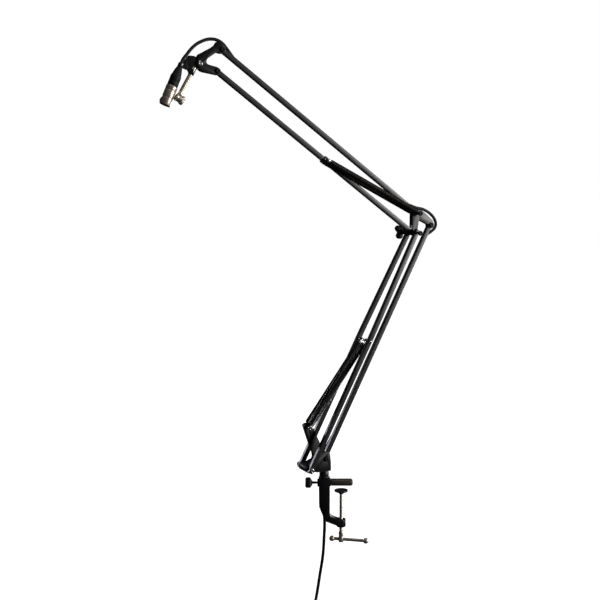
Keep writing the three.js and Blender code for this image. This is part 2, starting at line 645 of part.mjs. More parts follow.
function connectorShell() {
  const profile = [
    [8.1, 0], [9.2, 0], [SHELL, 0.6], [SHELL, 11.4], [8.9, 11.8], [8.9, 12.9], [SHELL, 13.3],
    [SHELL, SHELL_LENGTH], [8.1, SHELL_LENGTH], [8.1, 0],
  ];
  const shell = turned(profile, in3(plugAt(0)), in3(plugAt(10)), 24);
  const corner = (d, n) => {
    const p = along(plugAt(d), at(plugRun.y, -plugRun.x), n);
    return [p.x, p.y];
  };
  const latchSlot = slab(outline(corner(1.5, -7), corner(10.5, -7), corner(10.5, -12),
    corner(1.5, -12)), -2.6, 2.6);
  return cut(shell, latchSlot);
}

function connectorInsert() {
  const body = turned([[0, 2], [7.4, 2], [7.8, 2.6], [7.8, 30], [0, 30]], in3(plugAt(0)),
    in3(plugAt(10)), 20);
  const sockets = [0, 120, 240].map((angle) => {
    const across = at(plugRun.y, -plugRun.x);
    const offset = 4 * Math.sin(rad(angle));
    const y = 4 * Math.cos(rad(angle));
    return turned([[0, 0], [1.3, 0], [1.3, 14], [0, 14]],
      in3(along(plugAt(1), across, offset), y), in3(along(plugAt(20), across, offset), y), 8);
  });
  return cut(body, ...sockets);
}

function connectorLatch() {
  const corner = (d, n) => {
    const p = along(plugAt(d), at(plugRun.y, -plugRun.x), n);
    return [p.x, p.y];
  };
  return slab(outline(corner(2, -9.1), corner(10, -9.1), corner(10, -9.8), corner(7.5, -10.6),
    corner(4, -10.6), corner(2, -9.4)), -2.2, 2.2);
}

function boot(start, run, from, to) {
  const length = to - from;
  const point = (d) => in3(along(start, run, d));
  return turned(
    [[CABLE + GAP, 0], [8.6, 0], [8.9, 0.8], [8.9, length * 0.51], [8.5, length * 0.57],
    [7.2, length * 0.76], [6.4, length * 0.85], [4.9, length], [CABLE + GAP, length], [CABLE + GAP, 0]],
    point(from), point(to), 20,
  );
}

function buildHead(group) {
  const inner = CHANNEL_INSIDE / 2 + SHEET + GAP;
  add(group, 'head_bracket', headBracket(), PAINT);
  add(group, 'head_top_bolt', bolt(topTubeFront, -inner - 3, inner + 3), PAINT);
  add(group, 'head_low_bolt', bolt(bottomTubeFront, -inner - 3, inner + 3), PAINT);
  add(group, 'tilt_bolt', bolt(tilt, -inner - 3, inner + 3), STEEL);
  add(group, 'knuckle', knuckle(), PLASTIC);
  add(group, 'thread_rod', threadRod(), STEEL);
  add(group, 'thread_barrel', threadBarrel(), STEEL);
  add(group, 'thread_ring', threadRing(), STEEL);
  add(group, 'cable_clip', cableClip(), PLASTIC);
  add(group, 'connector_shell', connectorShell(), STEEL);
  add(group, 'connector_insert', connectorInsert(), PLASTIC);
  add(group, 'connector_latch', connectorLatch(), STEEL);
  add(group, 'connector_boot', boot(mouth, plugRun, SHELL_LENGTH + GAP, BOOT_END), RUBBER);
}

// ---- the lead, in the arm's plane -------------------------------------------------------------
const topAt = (d, n) => in3(along(along(topTubeFront, forearmRun, -d), forearmUp, n));
const backAt = (d, n) => in3(along(along(topTubeBack, forearmRun, d), forearmUp, n));
const rearAt = (d, n) => in3(along(along(rearTop, lowerRun, -d), lowerRight, n));
const footAt = (d, y) => in3(along(rearFoot, lowerRun, d), y);
const nearTilt = (x, z) => in3(tilt.clone().add(at(x, z)));
const nearElbow = (x, z) => in3(pairTop.clone().add(at(x, z)));

function buildLead(group) {
  const crown = nearTilt(1.4, 34.5);
  add(group, 'lead_head', lead([
    in3(plugAt(BOOT_END - 30)), in3(plugAt(BOOT_END)), in3(plugAt(CLIP_AT + 4)), nearTilt(-26.3, 6.9),
    nearTilt(-19.5, 15.1), nearTilt(-12.8, 23.3), nearTilt(-4.1, 31.1), crown,
  ], 20), RUBBER);
  add(group, 'lead_forearm', lead([
    crown.clone().add(new THREE.Vector3(GAP, 0, 0.2)), nearTilt(12, 39.2), nearTilt(22, 41),
    nearTilt(32, 40), nearTilt(41, 35.4), topAt(6, 7.4), topAt(14, 5.2), topAt(26, 2), topAt(38, 0.1),
    topAt(60, 0), backAt(200, 0), backAt(60, 0), backAt(38, 0.1), backAt(26, 1.8), backAt(14, 5.1),
    backAt(5, 8.1),
  ], 48), RUBBER);
  const elbowCrown = nearElbow(37.5, 34.2);
  add(group, 'lead_elbow', lead([
    backAt(4.6, 8.2), nearElbow(20.5, 42.6), nearElbow(30.6, 38.4), elbowCrown,
  ], 10), RUBBER);
  add(group, 'lead_lower_arm', lead([
    elbowCrown.clone().add(new THREE.Vector3(0.5, 0, -0.5)), nearElbow(44.6, 27.5), nearElbow(48.9, 20),
    nearElbow(49.9, 13.5), nearElbow(47.5, 7.2), rearAt(8, 9.6), rearAt(13, 6.5), rearAt(18, 3.2),
    rearAt(26, 0.6), rearAt(36, 0), rearAt(80, 0), footAt(200, 0), footAt(70, 0), footAt(60, 0.4),
    footAt(52, 2.2), footAt(44, 5), footAt(36, 6.9), footAt(32, 7.25),
  ], 60), RUBBER);
  const drop = new THREE.Vector3(7.5, 13.6, rearFoot.y - 2);
  add(group, 'lead_shoulder', lead([
    footAt(31.6, 7.3), footAt(24, 8.6), footAt(16, 11.8), new THREE.Vector3(7.6, 13.4, rearFoot.y + 7), drop,
  ], 10), RUBBER);
}

// ---- the lead below the swivel, in the clamp's frame ---------------------------------------------
// The spare length hangs in a tied coil below the clamp, its axis along y.
const COIL = { x: -36, y: SADDLE_Y, z: -275, radius: 32, thick: 12, wide: 23.4 };
const PLUG_X = COIL.x - COIL.radius + 1;
const PLUG_Y = COIL.y - COIL.wide / 2 - CABLE - GAP;
const PLUG_BOOT_TOP = -312;
const PLUG_BOOT = 30;
const PLUG_SHELL = 40;

function armToClamp(p) {
  const turn = rad(ARM_YAW);
  return new THREE.Vector3(
    SWIVEL_X + p.x * Math.cos(turn) - p.y * Math.sin(turn),
    p.x * Math.sin(turn) + p.y * Math.cos(turn),
    p.z,
  );
}

function coilRing() {
  const { radius, thick, wide } = COIL;
  const [inside, outside] = [radius - thick / 2, radius + thick / 2];
  const round = 3;
  return turned(
    [[inside, -wide / 2 + round], [inside + round, -wide / 2], [outside - round, -wide / 2],
    [outside, -wide / 2 + round],
      [outside, wide / 2 - round], [outside - round, wide / 2], [inside + round, wide / 2],
      [inside, wide / 2 - round],
      [inside, -wide / 2 + round]],
    new THREE.Vector3(COIL.x, COIL.y, COIL.z), new THREE.Vector3(COIL.x, 900, COIL.z), 32,
  );
}

function coilTie() {
  const { x, y, z, radius, thick, wide } = COIL;
  const band = new THREE.BoxGeometry(8, wide + 3.4, thick + 3.4);
  const room = new THREE.BoxGeometry(9, wide + 1, thick + 1);
  return cut(band, room).translate(x, y, z + radius);
}

const plugDown = (z) => new THREE.Vector3(PLUG_X, PLUG_Y, z);

function plugBoot() {
  return turned(
    [[CABLE + GAP, 0], [4.9, 0], [6.6, PLUG_BOOT * 0.34], [8.7, PLUG_BOOT - 8], [8.7, PLUG_BOOT],
    [CABLE + GAP, PLUG_BOOT],
      [CABLE + GAP, 0]],
    plugDown(PLUG_BOOT_TOP), plugDown(-900), 20,
  );
}

// The plug's shell, open at its foot over three pins on their carrier.
function plugShell() {
  const top = PLUG_BOOT_TOP - PLUG_BOOT - GAP;
  const shell = turned(
    [[0, 0], [8.9, 0], [SHELL, 0.8], [SHELL, 24], [9.1, 25], [9.1, PLUG_SHELL], [8.1, PLUG_SHELL],
    [8.1, 23], [0, 23]],
    plugDown(top), plugDown(-900), 24,
  );
  const pins = [90, 210, 330].map((angle) => new THREE.CylinderGeometry(1.2, 1.2, 14, 8)
    .rotateX(Math.PI / 2)
    .translate(PLUG_X + 4.4 * Math.cos(rad(angle)), PLUG_Y + 4.4 * Math.sin(rad(angle)), top - 23 - 6));
  return join(shell, ...pins);
}

function buildTail(group) {
  const start = armToClamp(new THREE.Vector3(7.5, 13.6, rearFoot.y - 2 - 2 * GAP));
  add(group, 'lead_swivel', lead([
    start, armToClamp(new THREE.Vector3(5, 14.6, rearFoot.y - 14)),
    armToClamp(new THREE.Vector3(4.5, 15, 20)),
    new THREE.Vector3(SWIVEL_X - 1.5, 15.8, 2), new THREE.Vector3(SWIVEL_X, SADDLE_Y, -14),
    new THREE.Vector3(SWIVEL_X, SADDLE_Y, SADDLE_Z + 0.5),
  ], 20), RUBBER);
  add(group, 'lead_tail', lead([
    new THREE.Vector3(SWIVEL_X, SADDLE_Y, SADDLE_Z + 0.2), new THREE.Vector3(SWIVEL_X, SADDLE_Y, -52),
    new THREE.Vector3(SWIVEL_X + 1.2, SADDLE_Y, -75), new THREE.Vector3(SWIVEL_X + 0.4, SADDLE_Y, -100),
    new THREE.Vector3(SWIVEL_X - 1.8, SADDLE_Y, -135), new THREE.Vector3(SWIVEL_X - 7.3, SADDLE_Y, -172),
    new THREE.Vector3(SWIVEL_X - 13.7, SADDLE_Y - 3, -212),
    new THREE.Vector3(SWIVEL_X - 17.4, SADDLE_Y - 6.5, -226),
    new THREE.Vector3(SWIVEL_X - 22, SADDLE_Y - 8.6, -236.6),
  ], 24), RUBBER);
  add(group, 'lead_coil', coilRing(), RUBBER);
  add(group, 'coil_tie', coilTie(), PLASTIC);
  add(group, 'lead_plug_end', lead([
    plugDown(COIL.z + 4), plugDown(COIL.z - 10), plugDown(COIL.z - 24),
      plugDown(PLUG_BOOT_TOP - PLUG_BOOT + 1),
  ], 8), RUBBER);
  add(group, 'plug_boot', plugBoot(), RUBBER);
  add(group, 'plug_shell', plugShell(), STEEL);
}

const part = new THREE.Group();
const arm = new THREE.Group();
arm.position.set(SWIVEL_X, 0, 0);
arm.rotation.z = rad(ARM_YAW);
part.add(arm);

buildClamp(part);
buildBase(arm);
buildLowerArm(arm);
buildElbow(arm);
buildForearm(arm);
buildHead(arm);
buildLead(arm);
buildTail(part);

export default part;
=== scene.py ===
"""Looks of the desk boom arm. Lengths are millimetres until a mesh is placed: ARM is the frame of
the arm's upright plane (x across, y along the hinge axes, z up), DESK the clamp's own frame."""

import json
import math

import bmesh
import bpy
import numpy as np
from mathutils import Matrix, Vector


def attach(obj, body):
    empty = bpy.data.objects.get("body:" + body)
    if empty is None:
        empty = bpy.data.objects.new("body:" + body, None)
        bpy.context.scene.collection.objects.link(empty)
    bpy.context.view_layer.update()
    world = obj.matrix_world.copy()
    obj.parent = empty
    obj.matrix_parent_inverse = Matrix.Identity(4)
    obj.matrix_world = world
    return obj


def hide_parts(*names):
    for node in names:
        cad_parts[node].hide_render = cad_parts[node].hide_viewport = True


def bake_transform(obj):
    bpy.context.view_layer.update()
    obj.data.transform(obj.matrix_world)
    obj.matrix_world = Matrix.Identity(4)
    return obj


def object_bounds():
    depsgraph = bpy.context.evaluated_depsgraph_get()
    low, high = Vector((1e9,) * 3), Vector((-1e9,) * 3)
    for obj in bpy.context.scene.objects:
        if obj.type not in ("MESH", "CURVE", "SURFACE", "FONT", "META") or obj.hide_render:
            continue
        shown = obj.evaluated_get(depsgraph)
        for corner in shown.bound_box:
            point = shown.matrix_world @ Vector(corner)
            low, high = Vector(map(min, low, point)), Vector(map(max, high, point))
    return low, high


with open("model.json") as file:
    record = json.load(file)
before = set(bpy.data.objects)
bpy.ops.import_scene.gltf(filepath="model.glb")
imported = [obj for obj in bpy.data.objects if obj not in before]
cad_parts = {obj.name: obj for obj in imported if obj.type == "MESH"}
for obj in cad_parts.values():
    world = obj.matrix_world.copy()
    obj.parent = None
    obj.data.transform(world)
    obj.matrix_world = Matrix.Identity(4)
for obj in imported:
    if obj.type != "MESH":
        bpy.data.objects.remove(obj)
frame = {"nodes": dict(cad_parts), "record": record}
CAD_BOX = [list(corner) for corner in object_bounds()]
NODES = frame["nodes"]
BODY_OF = {n: b for b, ns in frame["record"]["behaviour"]["bodies"].items() for n in ns}
scene = bpy.context.scene
scene.view_settings.view_transform = "Standard"

# ---- camera --------------------------------------------------------------------------------------
FOCAL_LENGTH, SENSOR, CAMERA_DIP = 64.5, 36, 6.12
camera_data = bpy.data.cameras.new("camera")
camera_data.sensor_width = SENSOR
camera_data.lens = FOCAL_LENGTH
camera = bpy.data.objects.new("camera", camera_data)
camera.location = (-0.0741, -1.8841, 0.5370)
camera.rotation_euler = (math.radians(90 - CAMERA_DIP), 0, 0)
scene.collection.objects.link(camera)
scene.camera = camera

# ---- the linkage, as in the CAD source -----------------------------------------------------------
SWIVEL_X, YAW, ARM_LENGTH = -30.6, 25, 465
LEAN, RISE = math.radians(27.38), math.radians(35.85)
TUBE, WALL, PAIR_HALF, PAIR_HALF_TOP = 8.4, 0.7, 20.8, 13.7
CABLE, BOLT, HALF_IN, SHEET, GAP = 2.8, 2.4, 4.5, 1.4, 0.3
PIN, CROSS_AT, COLLAR_AT = 2, 0.538, 0.47
ARM = (Matrix.Translation((SWIVEL_X / 1000, 0, 0)) @ Matrix.Rotation(math.radians(YAW), 4, "Z")
       @ Matrix.Scale(0.001, 4))
DESK = Matrix.Scale(0.001, 4)


def at(x, z):
    """A place or a direction in the plane of the arm."""
    return np.array([x, z], float)


def in3(p, y=0.0):
    """The same place in space, y to the side of the plane."""
    return np.array([p[0], y, p[1]], float)


def unit(v):
    v = np.array(v, float)
    return v / np.linalg.norm(v)


rear_step, top_step = at(36.5, 13.5), at(8.8, 35.1)
lower_run = at(math.sin(LEAN), math.cos(LEAN))
lower_right = at(lower_run[1], -lower_run[0])
fore_run = at(-math.cos(RISE), math.sin(RISE))
fore_up = at(fore_run[1], -fore_run[0])
pair_foot = at(-36.5, 37.4)
rear_foot = pair_foot + rear_step
pair_top = pair_foot + lower_run * ARM_LENGTH
rear_top = pair_top + rear_step
top_back = pair_top + top_step
low_front = pair_top + fore_run * ARM_LENGTH
top_front = low_front + top_step
cross_pin = pair_foot + lower_run * ARM_LENGTH * CROSS_AT
spring_foot = pair_foot + at(3.2, 73)
collar = pair_top + fore_run * ARM_LENGTH * COLLAR_AT
tilt = top_front + at(-39.8, -24.5)
rod_run, rod_side = at(-0.5, -0.866), at(0.866, -0.5)
rod_foot = tilt + at(-8.6, -8.2)
adapter = tilt + at(-36, -56.2)
plug_run = unit([0.391, 0.92])
plug_across = at(plug_run[1], -plug_run[0])
mouth = tilt + at(-58.8, -68.1)


# ---- mesh building -------------------------------------------------------------------------------
def smooth_step(t):
    t = min(1.0, max(0.0, t))
    return t * t * (3 - 2 * t)


def spline(points, step=3.0):
    """A centripetal Catmull-Rom curve through the points."""
    p = [np.array(q, float) for q in points]
    p = [2 * p[0] - p[1], *p, 2 * p[-1] - p[-2]]
    out = []
    for k in range(1, len(p) - 2):
        a, b, c, d = p[k - 1:k + 3]
        t0 = 0.0
        t1 = t0 + math.sqrt(np.linalg.norm(b - a))
        t2 = t1 + math.sqrt(np.linalg.norm(c - b))
        t3 = t2 + math.sqrt(np.linalg.norm(d - c))
        count = max(2, round(np.linalg.norm(c - b) / step))
        for t in np.linspace(t1, t2, count, endpoint=False):
            a1 = (t1 - t) / (t1 - t0) * a + (t - t0) / (t1 - t0) * b
            a2 = (t2 - t) / (t2 - t1) * b + (t - t1) / (t2 - t1) * c
            a3 = (t3 - t) / (t3 - t2) * c + (t - t2) / (t3 - t2) * d
            b1 = (t2 - t) / (t2 - t0) * a1 + (t - t0) / (t2 - t0) * a2
            b2 = (t3 - t) / (t3 - t1) * a2 + (t - t1) / (t3 - t1) * a3
            out.append((t2 - t) / (t2 - t1) * b1 + (t - t1) / (t2 - t1) * b2)
    out.append(p[-2])
    return np.array(out)


def eased(points, soft, loop=False):
    """The corners of a flat line turned into small arcs."""
    p = [np.array(q[:2], float) for q in points]
    if loop and np.allclose(p[0], p[-1]):
        p = p[:-1]
    out = []
    for k, here in enumerate(p):
        if not loop and k in (0, len(p) - 1):
            out.append(here)
            continue
        before, after = p[k - 1], p[(k + 1) % len(p)]
        la, lb = np.linalg.norm(here - before), np.linalg.norm(after - here)
        da, db = (here - before) / la, (after - here) / lb
        turn = math.degrees(math.acos(max(-1, min(1, float(da @ db)))))
        if turn < 14 or soft <= 0:
            out.append(here)
            continue
        c = min(soft, 0.45 * la, 0.45 * lb)
        for t in (0, 0.3, 0.7, 1) if turn > 50 else (0, 1):
            out.append((1 - t) ** 2 * (here - da * c) + 2 * t * (1 - t) * here + t * t * (here + db * c))
    return out


def lathe(profile, start, end, sides=40, soft=0.3, shape=None):
    """A turned solid: [radius, height] pairs about the line from start toward end."""
    loop = profile[0][0] > 0 and tuple(profile[0]) == tuple(profile[-1])
    line = eased(profile, soft, loop)
    start, axis = np.array(start, float), unit(np.array(end, float) - np.array(start, float))
    other = np.array([0.0, 1, 0]) if abs(axis[1]) < 0.9 else np.array([1.0, 0, 0])
    u = unit(np.cross(axis, other))
    v = np.cross(axis, u)
    verts, rings, faces = [], [], []
    for r, h in line:
        if r < 1e-6:
            rings.append([len(verts)])
            verts.append(start + axis * h)
            continue
        ring = []
        for k in range(sides):
            a = 2 * math.pi * k / sides
            rr = shape(a, r, h) if shape else r
            ring.append(len(verts))
            verts.append(start + axis * h + (u * math.cos(a) + v * math.sin(a)) * rr)
        rings.append(ring)
    pairs = list(zip(rings, rings[1:])) + ([(rings[-1], rings[0])] if loop else [])
    for one, two in pairs:
        for k in range(sides):
            n = (k + 1) % sides
            if len(one) == 1 and len(two) == 1:
                break
            if len(one) == 1:
                faces.append((one[0], two[k], two[n]))
            elif len(two) == 1:
                faces.append((one[k], one[n], two[0]))
            else:
                faces.append((one[k], one[n], two[n], two[k]))
    return verts, faces


def hexed(inner, count=6, below=99.0, above=-99.0):
    """Turns rings of radius near inner into a hexagon of that inner radius."""
    def shape(a, r, h):
        if abs(r - inner) > 0.35 * inner or not above <= h <= below:
            return r
        part = (a % (2 * math.pi / count)) - math.pi / count
        return r / math.cos(part)
    return shape


def fluted(deep, count, low, high):
    """Cuts count rounded flutes, deep at their middle, between two heights."""
    def shape(a, r, h):
        if not low <= h <= high or r < 3:
            return r
        return r - deep * (0.5 + 0.5 * math.cos(count * a)) ** 1.5
    return shape


def thread(radius, pitch, depth, low, high, start, end, sides=20, rows=5):
    """A screw thread as one helical surface, with closed ends."""
    count = max(2, round((high - low) / pitch * rows))
    profile = [[0, low]] + [[radius, h] for h in np.linspace(low, high, count)] + [[0, high]]

    def shape(a, r, h):
        wave = (h / pitch - a / (2 * math.pi)) % 1.0
        edge = min(1.0, (h - low) / pitch, (high - h) / pitch)
        return r - depth * (1 - edge * (1 - abs(2 * wave - 1)))
    return lathe(profile, start, end, sides, 0, shape)


def band(one, two, count):
    """The quads between two rings of count vertices, which begin at one and at two."""
    return [(one + k, one + (k + 1) % count, two + (k + 1) % count, two + k) for k in range(count)]


def sweep(path, radius, sides=12, around=None):
    """A round section along a path, its frame carried along without twist."""
    path = np.array(path, float)
    tangent = np.gradient(path, axis=0)
    tangent /= np.linalg.norm(tangent, axis=1)[:, None]
    side = unit(np.cross(tangent[0], around if around is not None else (0.3, 0.2, 0.93)))
    verts, faces = [], []
    for k, (p, t) in enumerate(zip(path, tangent)):
        side = unit(side - t * (side @ t))
        up = np.cross(t, side)
        for s in range(sides):
            a = 2 * math.pi * s / sides
            verts.append(p + (side * math.cos(a) + up * math.sin(a)) * radius)
        if k:
            faces += band((k - 1) * sides, k * sides, sides)
    faces.append(tuple(range(sides)))
    faces.append(tuple(len(verts) - 1 - s for s in range(sides)))
    return verts, faces


def prism(outline, y0, y1, soft=0.5):
    """An outline in x and z given thickness along y, with rounded rims."""
    p = [np.array(q, float) for q in outline]
    area = sum(a[0] * b[1] - b[0] * a[1] for a, b in zip(p, p[1:] + p[:1]))
    if area < 0:
        p.reverse()
    count = len(p)

    def inset(d):
        out = []
        for k in range(count):
            one, two = unit(p[k] - p[k - 1]), unit(p[(k + 1) % count] - p[k])
            n1, n2 = at(-one[1], one[0]), at(-two[1], two[0])
            out.append(p[k] + (n1 + n2) / max(0.5, 1 + n1 @ n2) * d)
        return out
    levels = [(y0, soft), (y0 + 0.3 * soft, 0.3 * soft), (y0 + soft, 0),
              (y1 - soft, 0), (y1 - 0.3 * soft, 0.3 * soft), (y1, soft)]
    verts, faces = [], []
    for y, d in levels:
        verts += [in3(q, y) for q in inset(d)]
    for level in range(len(levels) - 1):
        faces += band(level * count, (level + 1) * count, count)
    faces.append(tuple(range(count)))
    faces.append(tuple(range(len(verts) - count, len(verts))))
    return verts, faces


def square_tube(points, half=TUBE / 2, wall=WALL):
    """Square steel tube with rounded corners through points that share one in-plane normal."""
    points = [np.array(q, float) for q in points]
    run = points[-1] - points[0]
    side = unit([-run[2], 0, run[0]])
    depth = np.array([0.0, 1, 0])
    rim, rim_corner, corner, bore_corner, steps = 0.2, 0.9, 1.1, 0.5, 5

    def ring(h, rounding):
        out = []
        for k, (a, b) in enumerate([(1, 1), (-1, 1), (-1, -1), (1, -1)]):
            for s in range(steps):
                w = math.radians(90 * k + 90 / (steps - 1) * s)
                out.append(((h - rounding) * a + rounding * math.cos(w),
                            (h - rounding) * b + rounding * math.sin(w)))
        return out
    verts, faces, rings = [], [], []

    def put(point, h, rounding, push=0.0):
        rings.append(len(verts))
        for a, b in ring(h, rounding):
            verts.append(point + side * a + depth * b + unit(run) * push)
    put(points[0], half - rim, rim_corner)
    put(points[0], half, corner, rim)
    for q in points[1:-1]:
        put(q, half, corner)
    put(points[-1], half, corner, -rim)
    put(points[-1], half - rim, rim_corner)
    put(points[-1], half - wall, bore_corner)
    for q in points[-2:0:-1]:
        put(q, half - wall, bore_corner)
    put(points[0], half - wall, bore_corner)
    for one, two in zip(rings, rings[1:] + rings[:1]):
        faces += band(one, two, 4 * steps)
    return verts, faces


def link(mesh, name):
    o = bpy.data.objects.new(name, mesh)
    scene.collection.objects.link(o)
    return o


def form(name, parts, space=ARM):
    """One object from vertices and faces in millimetres, placed by its space."""
    bm = bmesh.new()
    for verts, faces in parts:
        made = [bm.verts.new([float(c) for c in v]) for v in verts]
        for f in faces:
            bm.faces.new([made[k] for k in f])
    bmesh.ops.remove_doubles(bm, verts=bm.verts, dist=1e-4)
    bmesh.ops.dissolve_degenerate(bm, edges=bm.edges, dist=1e-5)
    bmesh.ops.recalc_face_normals(bm, faces=bm.faces)
    bm.transform(space)
    mesh = bpy.data.meshes.new(name)
    bm.to_mesh(mesh)
    bm.free()
    return link(mesh, name)


def applied(o):
    """The object with its modifiers made part of the mesh."""
    bpy.context.view_layer.update()
    mesh = bpy.data.meshes.new_from_object(o.evaluated_get(bpy.context.evaluated_depsgraph_get()))
    o.modifiers.clear()
    o.data = mesh
    return o


def drilled(o, *cutters):
    """The object with the cutters taken out of it; the cutters are removed."""
    for cutter in cutters:
        m = o.modifiers.new("cut", "BOOLEAN")
        m.operation, m.solver, m.object = "DIFFERENCE", "EXACT", cutter
    applied(o)
    for cutter in cutters:
        bpy.data.objects.remove(cutter)
    return o


def dressed(o, finish, nodes, body=None, smooth=38):
    """Shading, material, the CAD nodes it stands for and the body it rides on."""
    for polygon in o.data.polygons:
        polygon.use_smooth = True
    o.data.set_sharp_from_angle(angle=math.radians(smooth))
    o.data.materials.clear()
    o.data.materials.append(finish)
    nodes = [nodes] if isinstance(nodes, str) else nodes
    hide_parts(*nodes)
    if body != "later":
        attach(o, body or BODY_OF[nodes[0]])
    return o


def refined(node, finish, width=0.5, limit=38):
    """A machined or pressed piece of the frame, with its edges rounded."""
    mesh = NODES[node].data.copy()
    mesh.materials.clear()
    bm = bmesh.new()
    bm.from_mesh(mesh)
    bmesh.ops.remove_doubles(bm, verts=bm.verts, dist=1e-6)
    bmesh.ops.dissolve_limit(bm, angle_limit=math.radians(1.5), verts=bm.verts, edges=bm.edges)
    bm.to_mesh(mesh)
    bm.free()
    o = link(mesh, node + "_shape")
    m = o.modifiers.new("edges", "BEVEL")
    m.limit_method, m.angle_limit = "ANGLE", math.radians(limit)
    m.width, m.segments, m.use_clamp_overlap = width / 1000, 2, True
    m.miter_outer = "MITER_ARC"
    applied(o)
    return dressed(o, finish, node)


# ---- materials -----------------------------------------------------------------------------------
BROAD_SCALE, FINE_SHARE, BUMP_DEPTH = 55, 0.45, 0.00002


def material(name, base, rough, metal=0.0, vary=0.05, shade=0.15, grain=(1800, 0.08),
             stretch=(1, 1, 1), specular=0.5):
    """Principled surface: colour and roughness drift over two noises, and a fine bump.

    grain is the scale of the fine noise and the strength of its bump."""
    m = bpy.data.materials.new(name)
    m.use_nodes = True
    nodes, wires = m.node_tree.nodes, m.node_tree.links
    nodes.clear()
    out = nodes.new("ShaderNodeOutputMaterial")
    surface = nodes.new("ShaderNodeBsdfPrincipled")
    wires.new(surface.outputs[0], out.inputs[0])
    place = nodes.new("ShaderNodeTexCoord")
    scaled = nodes.new("ShaderNodeMapping")
    scaled.inputs["Scale"].default_value = stretch
    wires.new(place.outputs["Object"], scaled.inputs["Vector"])

    def noise(scale, detail=4.0):
        n = nodes.new("ShaderNodeTexNoise")
        n.inputs["Scale"].default_value = scale
        n.inputs["Detail"].default_value = detail
        wires.new(scaled.outputs[0], n.inputs["Vector"])
        return n.outputs["Fac"]
    broad, fine = noise(BROAD_SCALE), noise(grain[0], 2.0)
    tone = nodes.new("ShaderNodeMix")
    tone.data_type = "RGBA"
    tone.inputs["A"].default_value = (*[c * (1 - shade) for c in base], 1)
    tone.inputs["B"].default_value = (*[min(1, c * (1 + shade)) for c in base], 1)
    wires.new(broad, tone.inputs["Factor"])
    wires.new(tone.outputs["Result"], surface.inputs["Base Color"])
    spread = nodes.new("ShaderNodeMapRange")
    spread.inputs["From Min"].default_value = 0.3
    spread.inputs["From Max"].default_value = 0.7
    spread.inputs["To Min"].default_value = rough - vary
    spread.inputs["To Max"].default_value = rough + vary
    blend = nodes.new("ShaderNodeMix")
    blend.inputs["Factor"].default_value = FINE_SHARE
    wires.new(broad, blend.inputs["A"])
    wires.new(fine, blend.inputs["B"])
    wires.new(blend.outputs["Result"], spread.inputs["Value"])
    wires.new(spread.outputs["Result"], surface.inputs["Roughness"])
    bump = nodes.new("ShaderNodeBump")
    bump.inputs["Strength"].default_value = grain[1]
    bump.inputs["Distance"].default_value = BUMP_DEPTH
    wires.new(fine, bump.inputs["Height"])
    wires.new(bump.outputs[0], surface.inputs["Normal"])
    surface.inputs["Metallic"].default_value = metal
    surface.inputs["Specular IOR Level"].default_value = specular
    return m


DULL = 0.25
PAINT = material("satin_black_paint", (0.012, 0.012, 0.013), 0.33, grain=(600, 0.10))
CAST = material("cast_black_paint", (0.006, 0.006, 0.007), 0.44, vary=0.08, grain=(700, 0.22), specular=DULL)
BRACKET = material("bracket_paint", (0.004, 0.004, 0.005), 0.40, grain=(600, 0.10), specular=DULL)
BLACKED = material("blacked_bolts", (0.006, 0.006, 0.007), 0.55, grain=(900, 0.10), specular=DULL)
ELBOW_PAINT = material("elbow_bracket_paint", (0.032, 0.032, 0.033), 0.42, vary=0.04, grain=(600, 0.10))
# Brownish enamel for the jaw bar, made lighter than its own colour as painted light: it stands in for the
# light on the bar's top.
JAW_ENAMEL_PAINTED_LIGHT = material("jaw_enamel", (0.050, 0.042, 0.034), 0.34, grain=(900, 0.12))
NICKEL = material("bright_nickel", (0.66, 0.60, 0.53), 0.40, 0.9, vary=0.07, shade=0.10, grain=(2600, 0.06))
ZINC = material("zinc_steel", (0.66, 0.66, 0.68), 0.24, 1.0, vary=0.08, shade=0.12, grain=(2600, 0.10))
SPRING = material("spring_wire", (0.014, 0.010, 0.009), 0.45, grain=(900, 0.05), specular=0.35)
SATIN = material("satin_nickel", (0.62, 0.53, 0.46), 0.38, 0.85, vary=0.06, shade=0.12, grain=(2200, 0.10))
PLASTIC = material("moulded_plastic", (0.009, 0.009, 0.010), 0.42, vary=0.07, grain=(2400, 0.30))
GLOSSY = material("knuckle_plastic", (0.012, 0.012, 0.014), 0.24, grain=(1600, 0.12))
JACKET = material("lead_jacket", (0.006, 0.006, 0.007), 0.50, vary=0.06, grain=(1600, 0.20), specular=DULL)
RUBBER = material("boot_rubber", (0.006, 0.006, 0.007), 0.55, vary=0.08, grain=(2000, 0.30), specular=DULL)
WEBBING = material("tie_webbing", (0.013, 0.013, 0.014), 0.80, vary=0.06, grain=(3200, 0.90),
                   stretch=(1, 3, 1))

# ---- the free lead and its plug ------------------------------------------------------------------
SADDLE_Y, SADDLE_Z = 15.6, -30
COIL_X, COIL_Y, COIL_Z = -36, SADDLE_Y, -275
OUTER, INNER, PITCH = 35.1, 29.1, 5.85
TAIL_ANGLE, TAIL_RADIUS, TAIL_Y = 113.4, 41.8, 7.0
COIL_START, TURN_IN, COIL_END = 160, 1600, 3060
PLUG_X, PLUG_Y = -67, COIL_Y - 2 * PITCH - CABLE - GAP
BOOT_TOP, BOOT_LONG = -312, 30


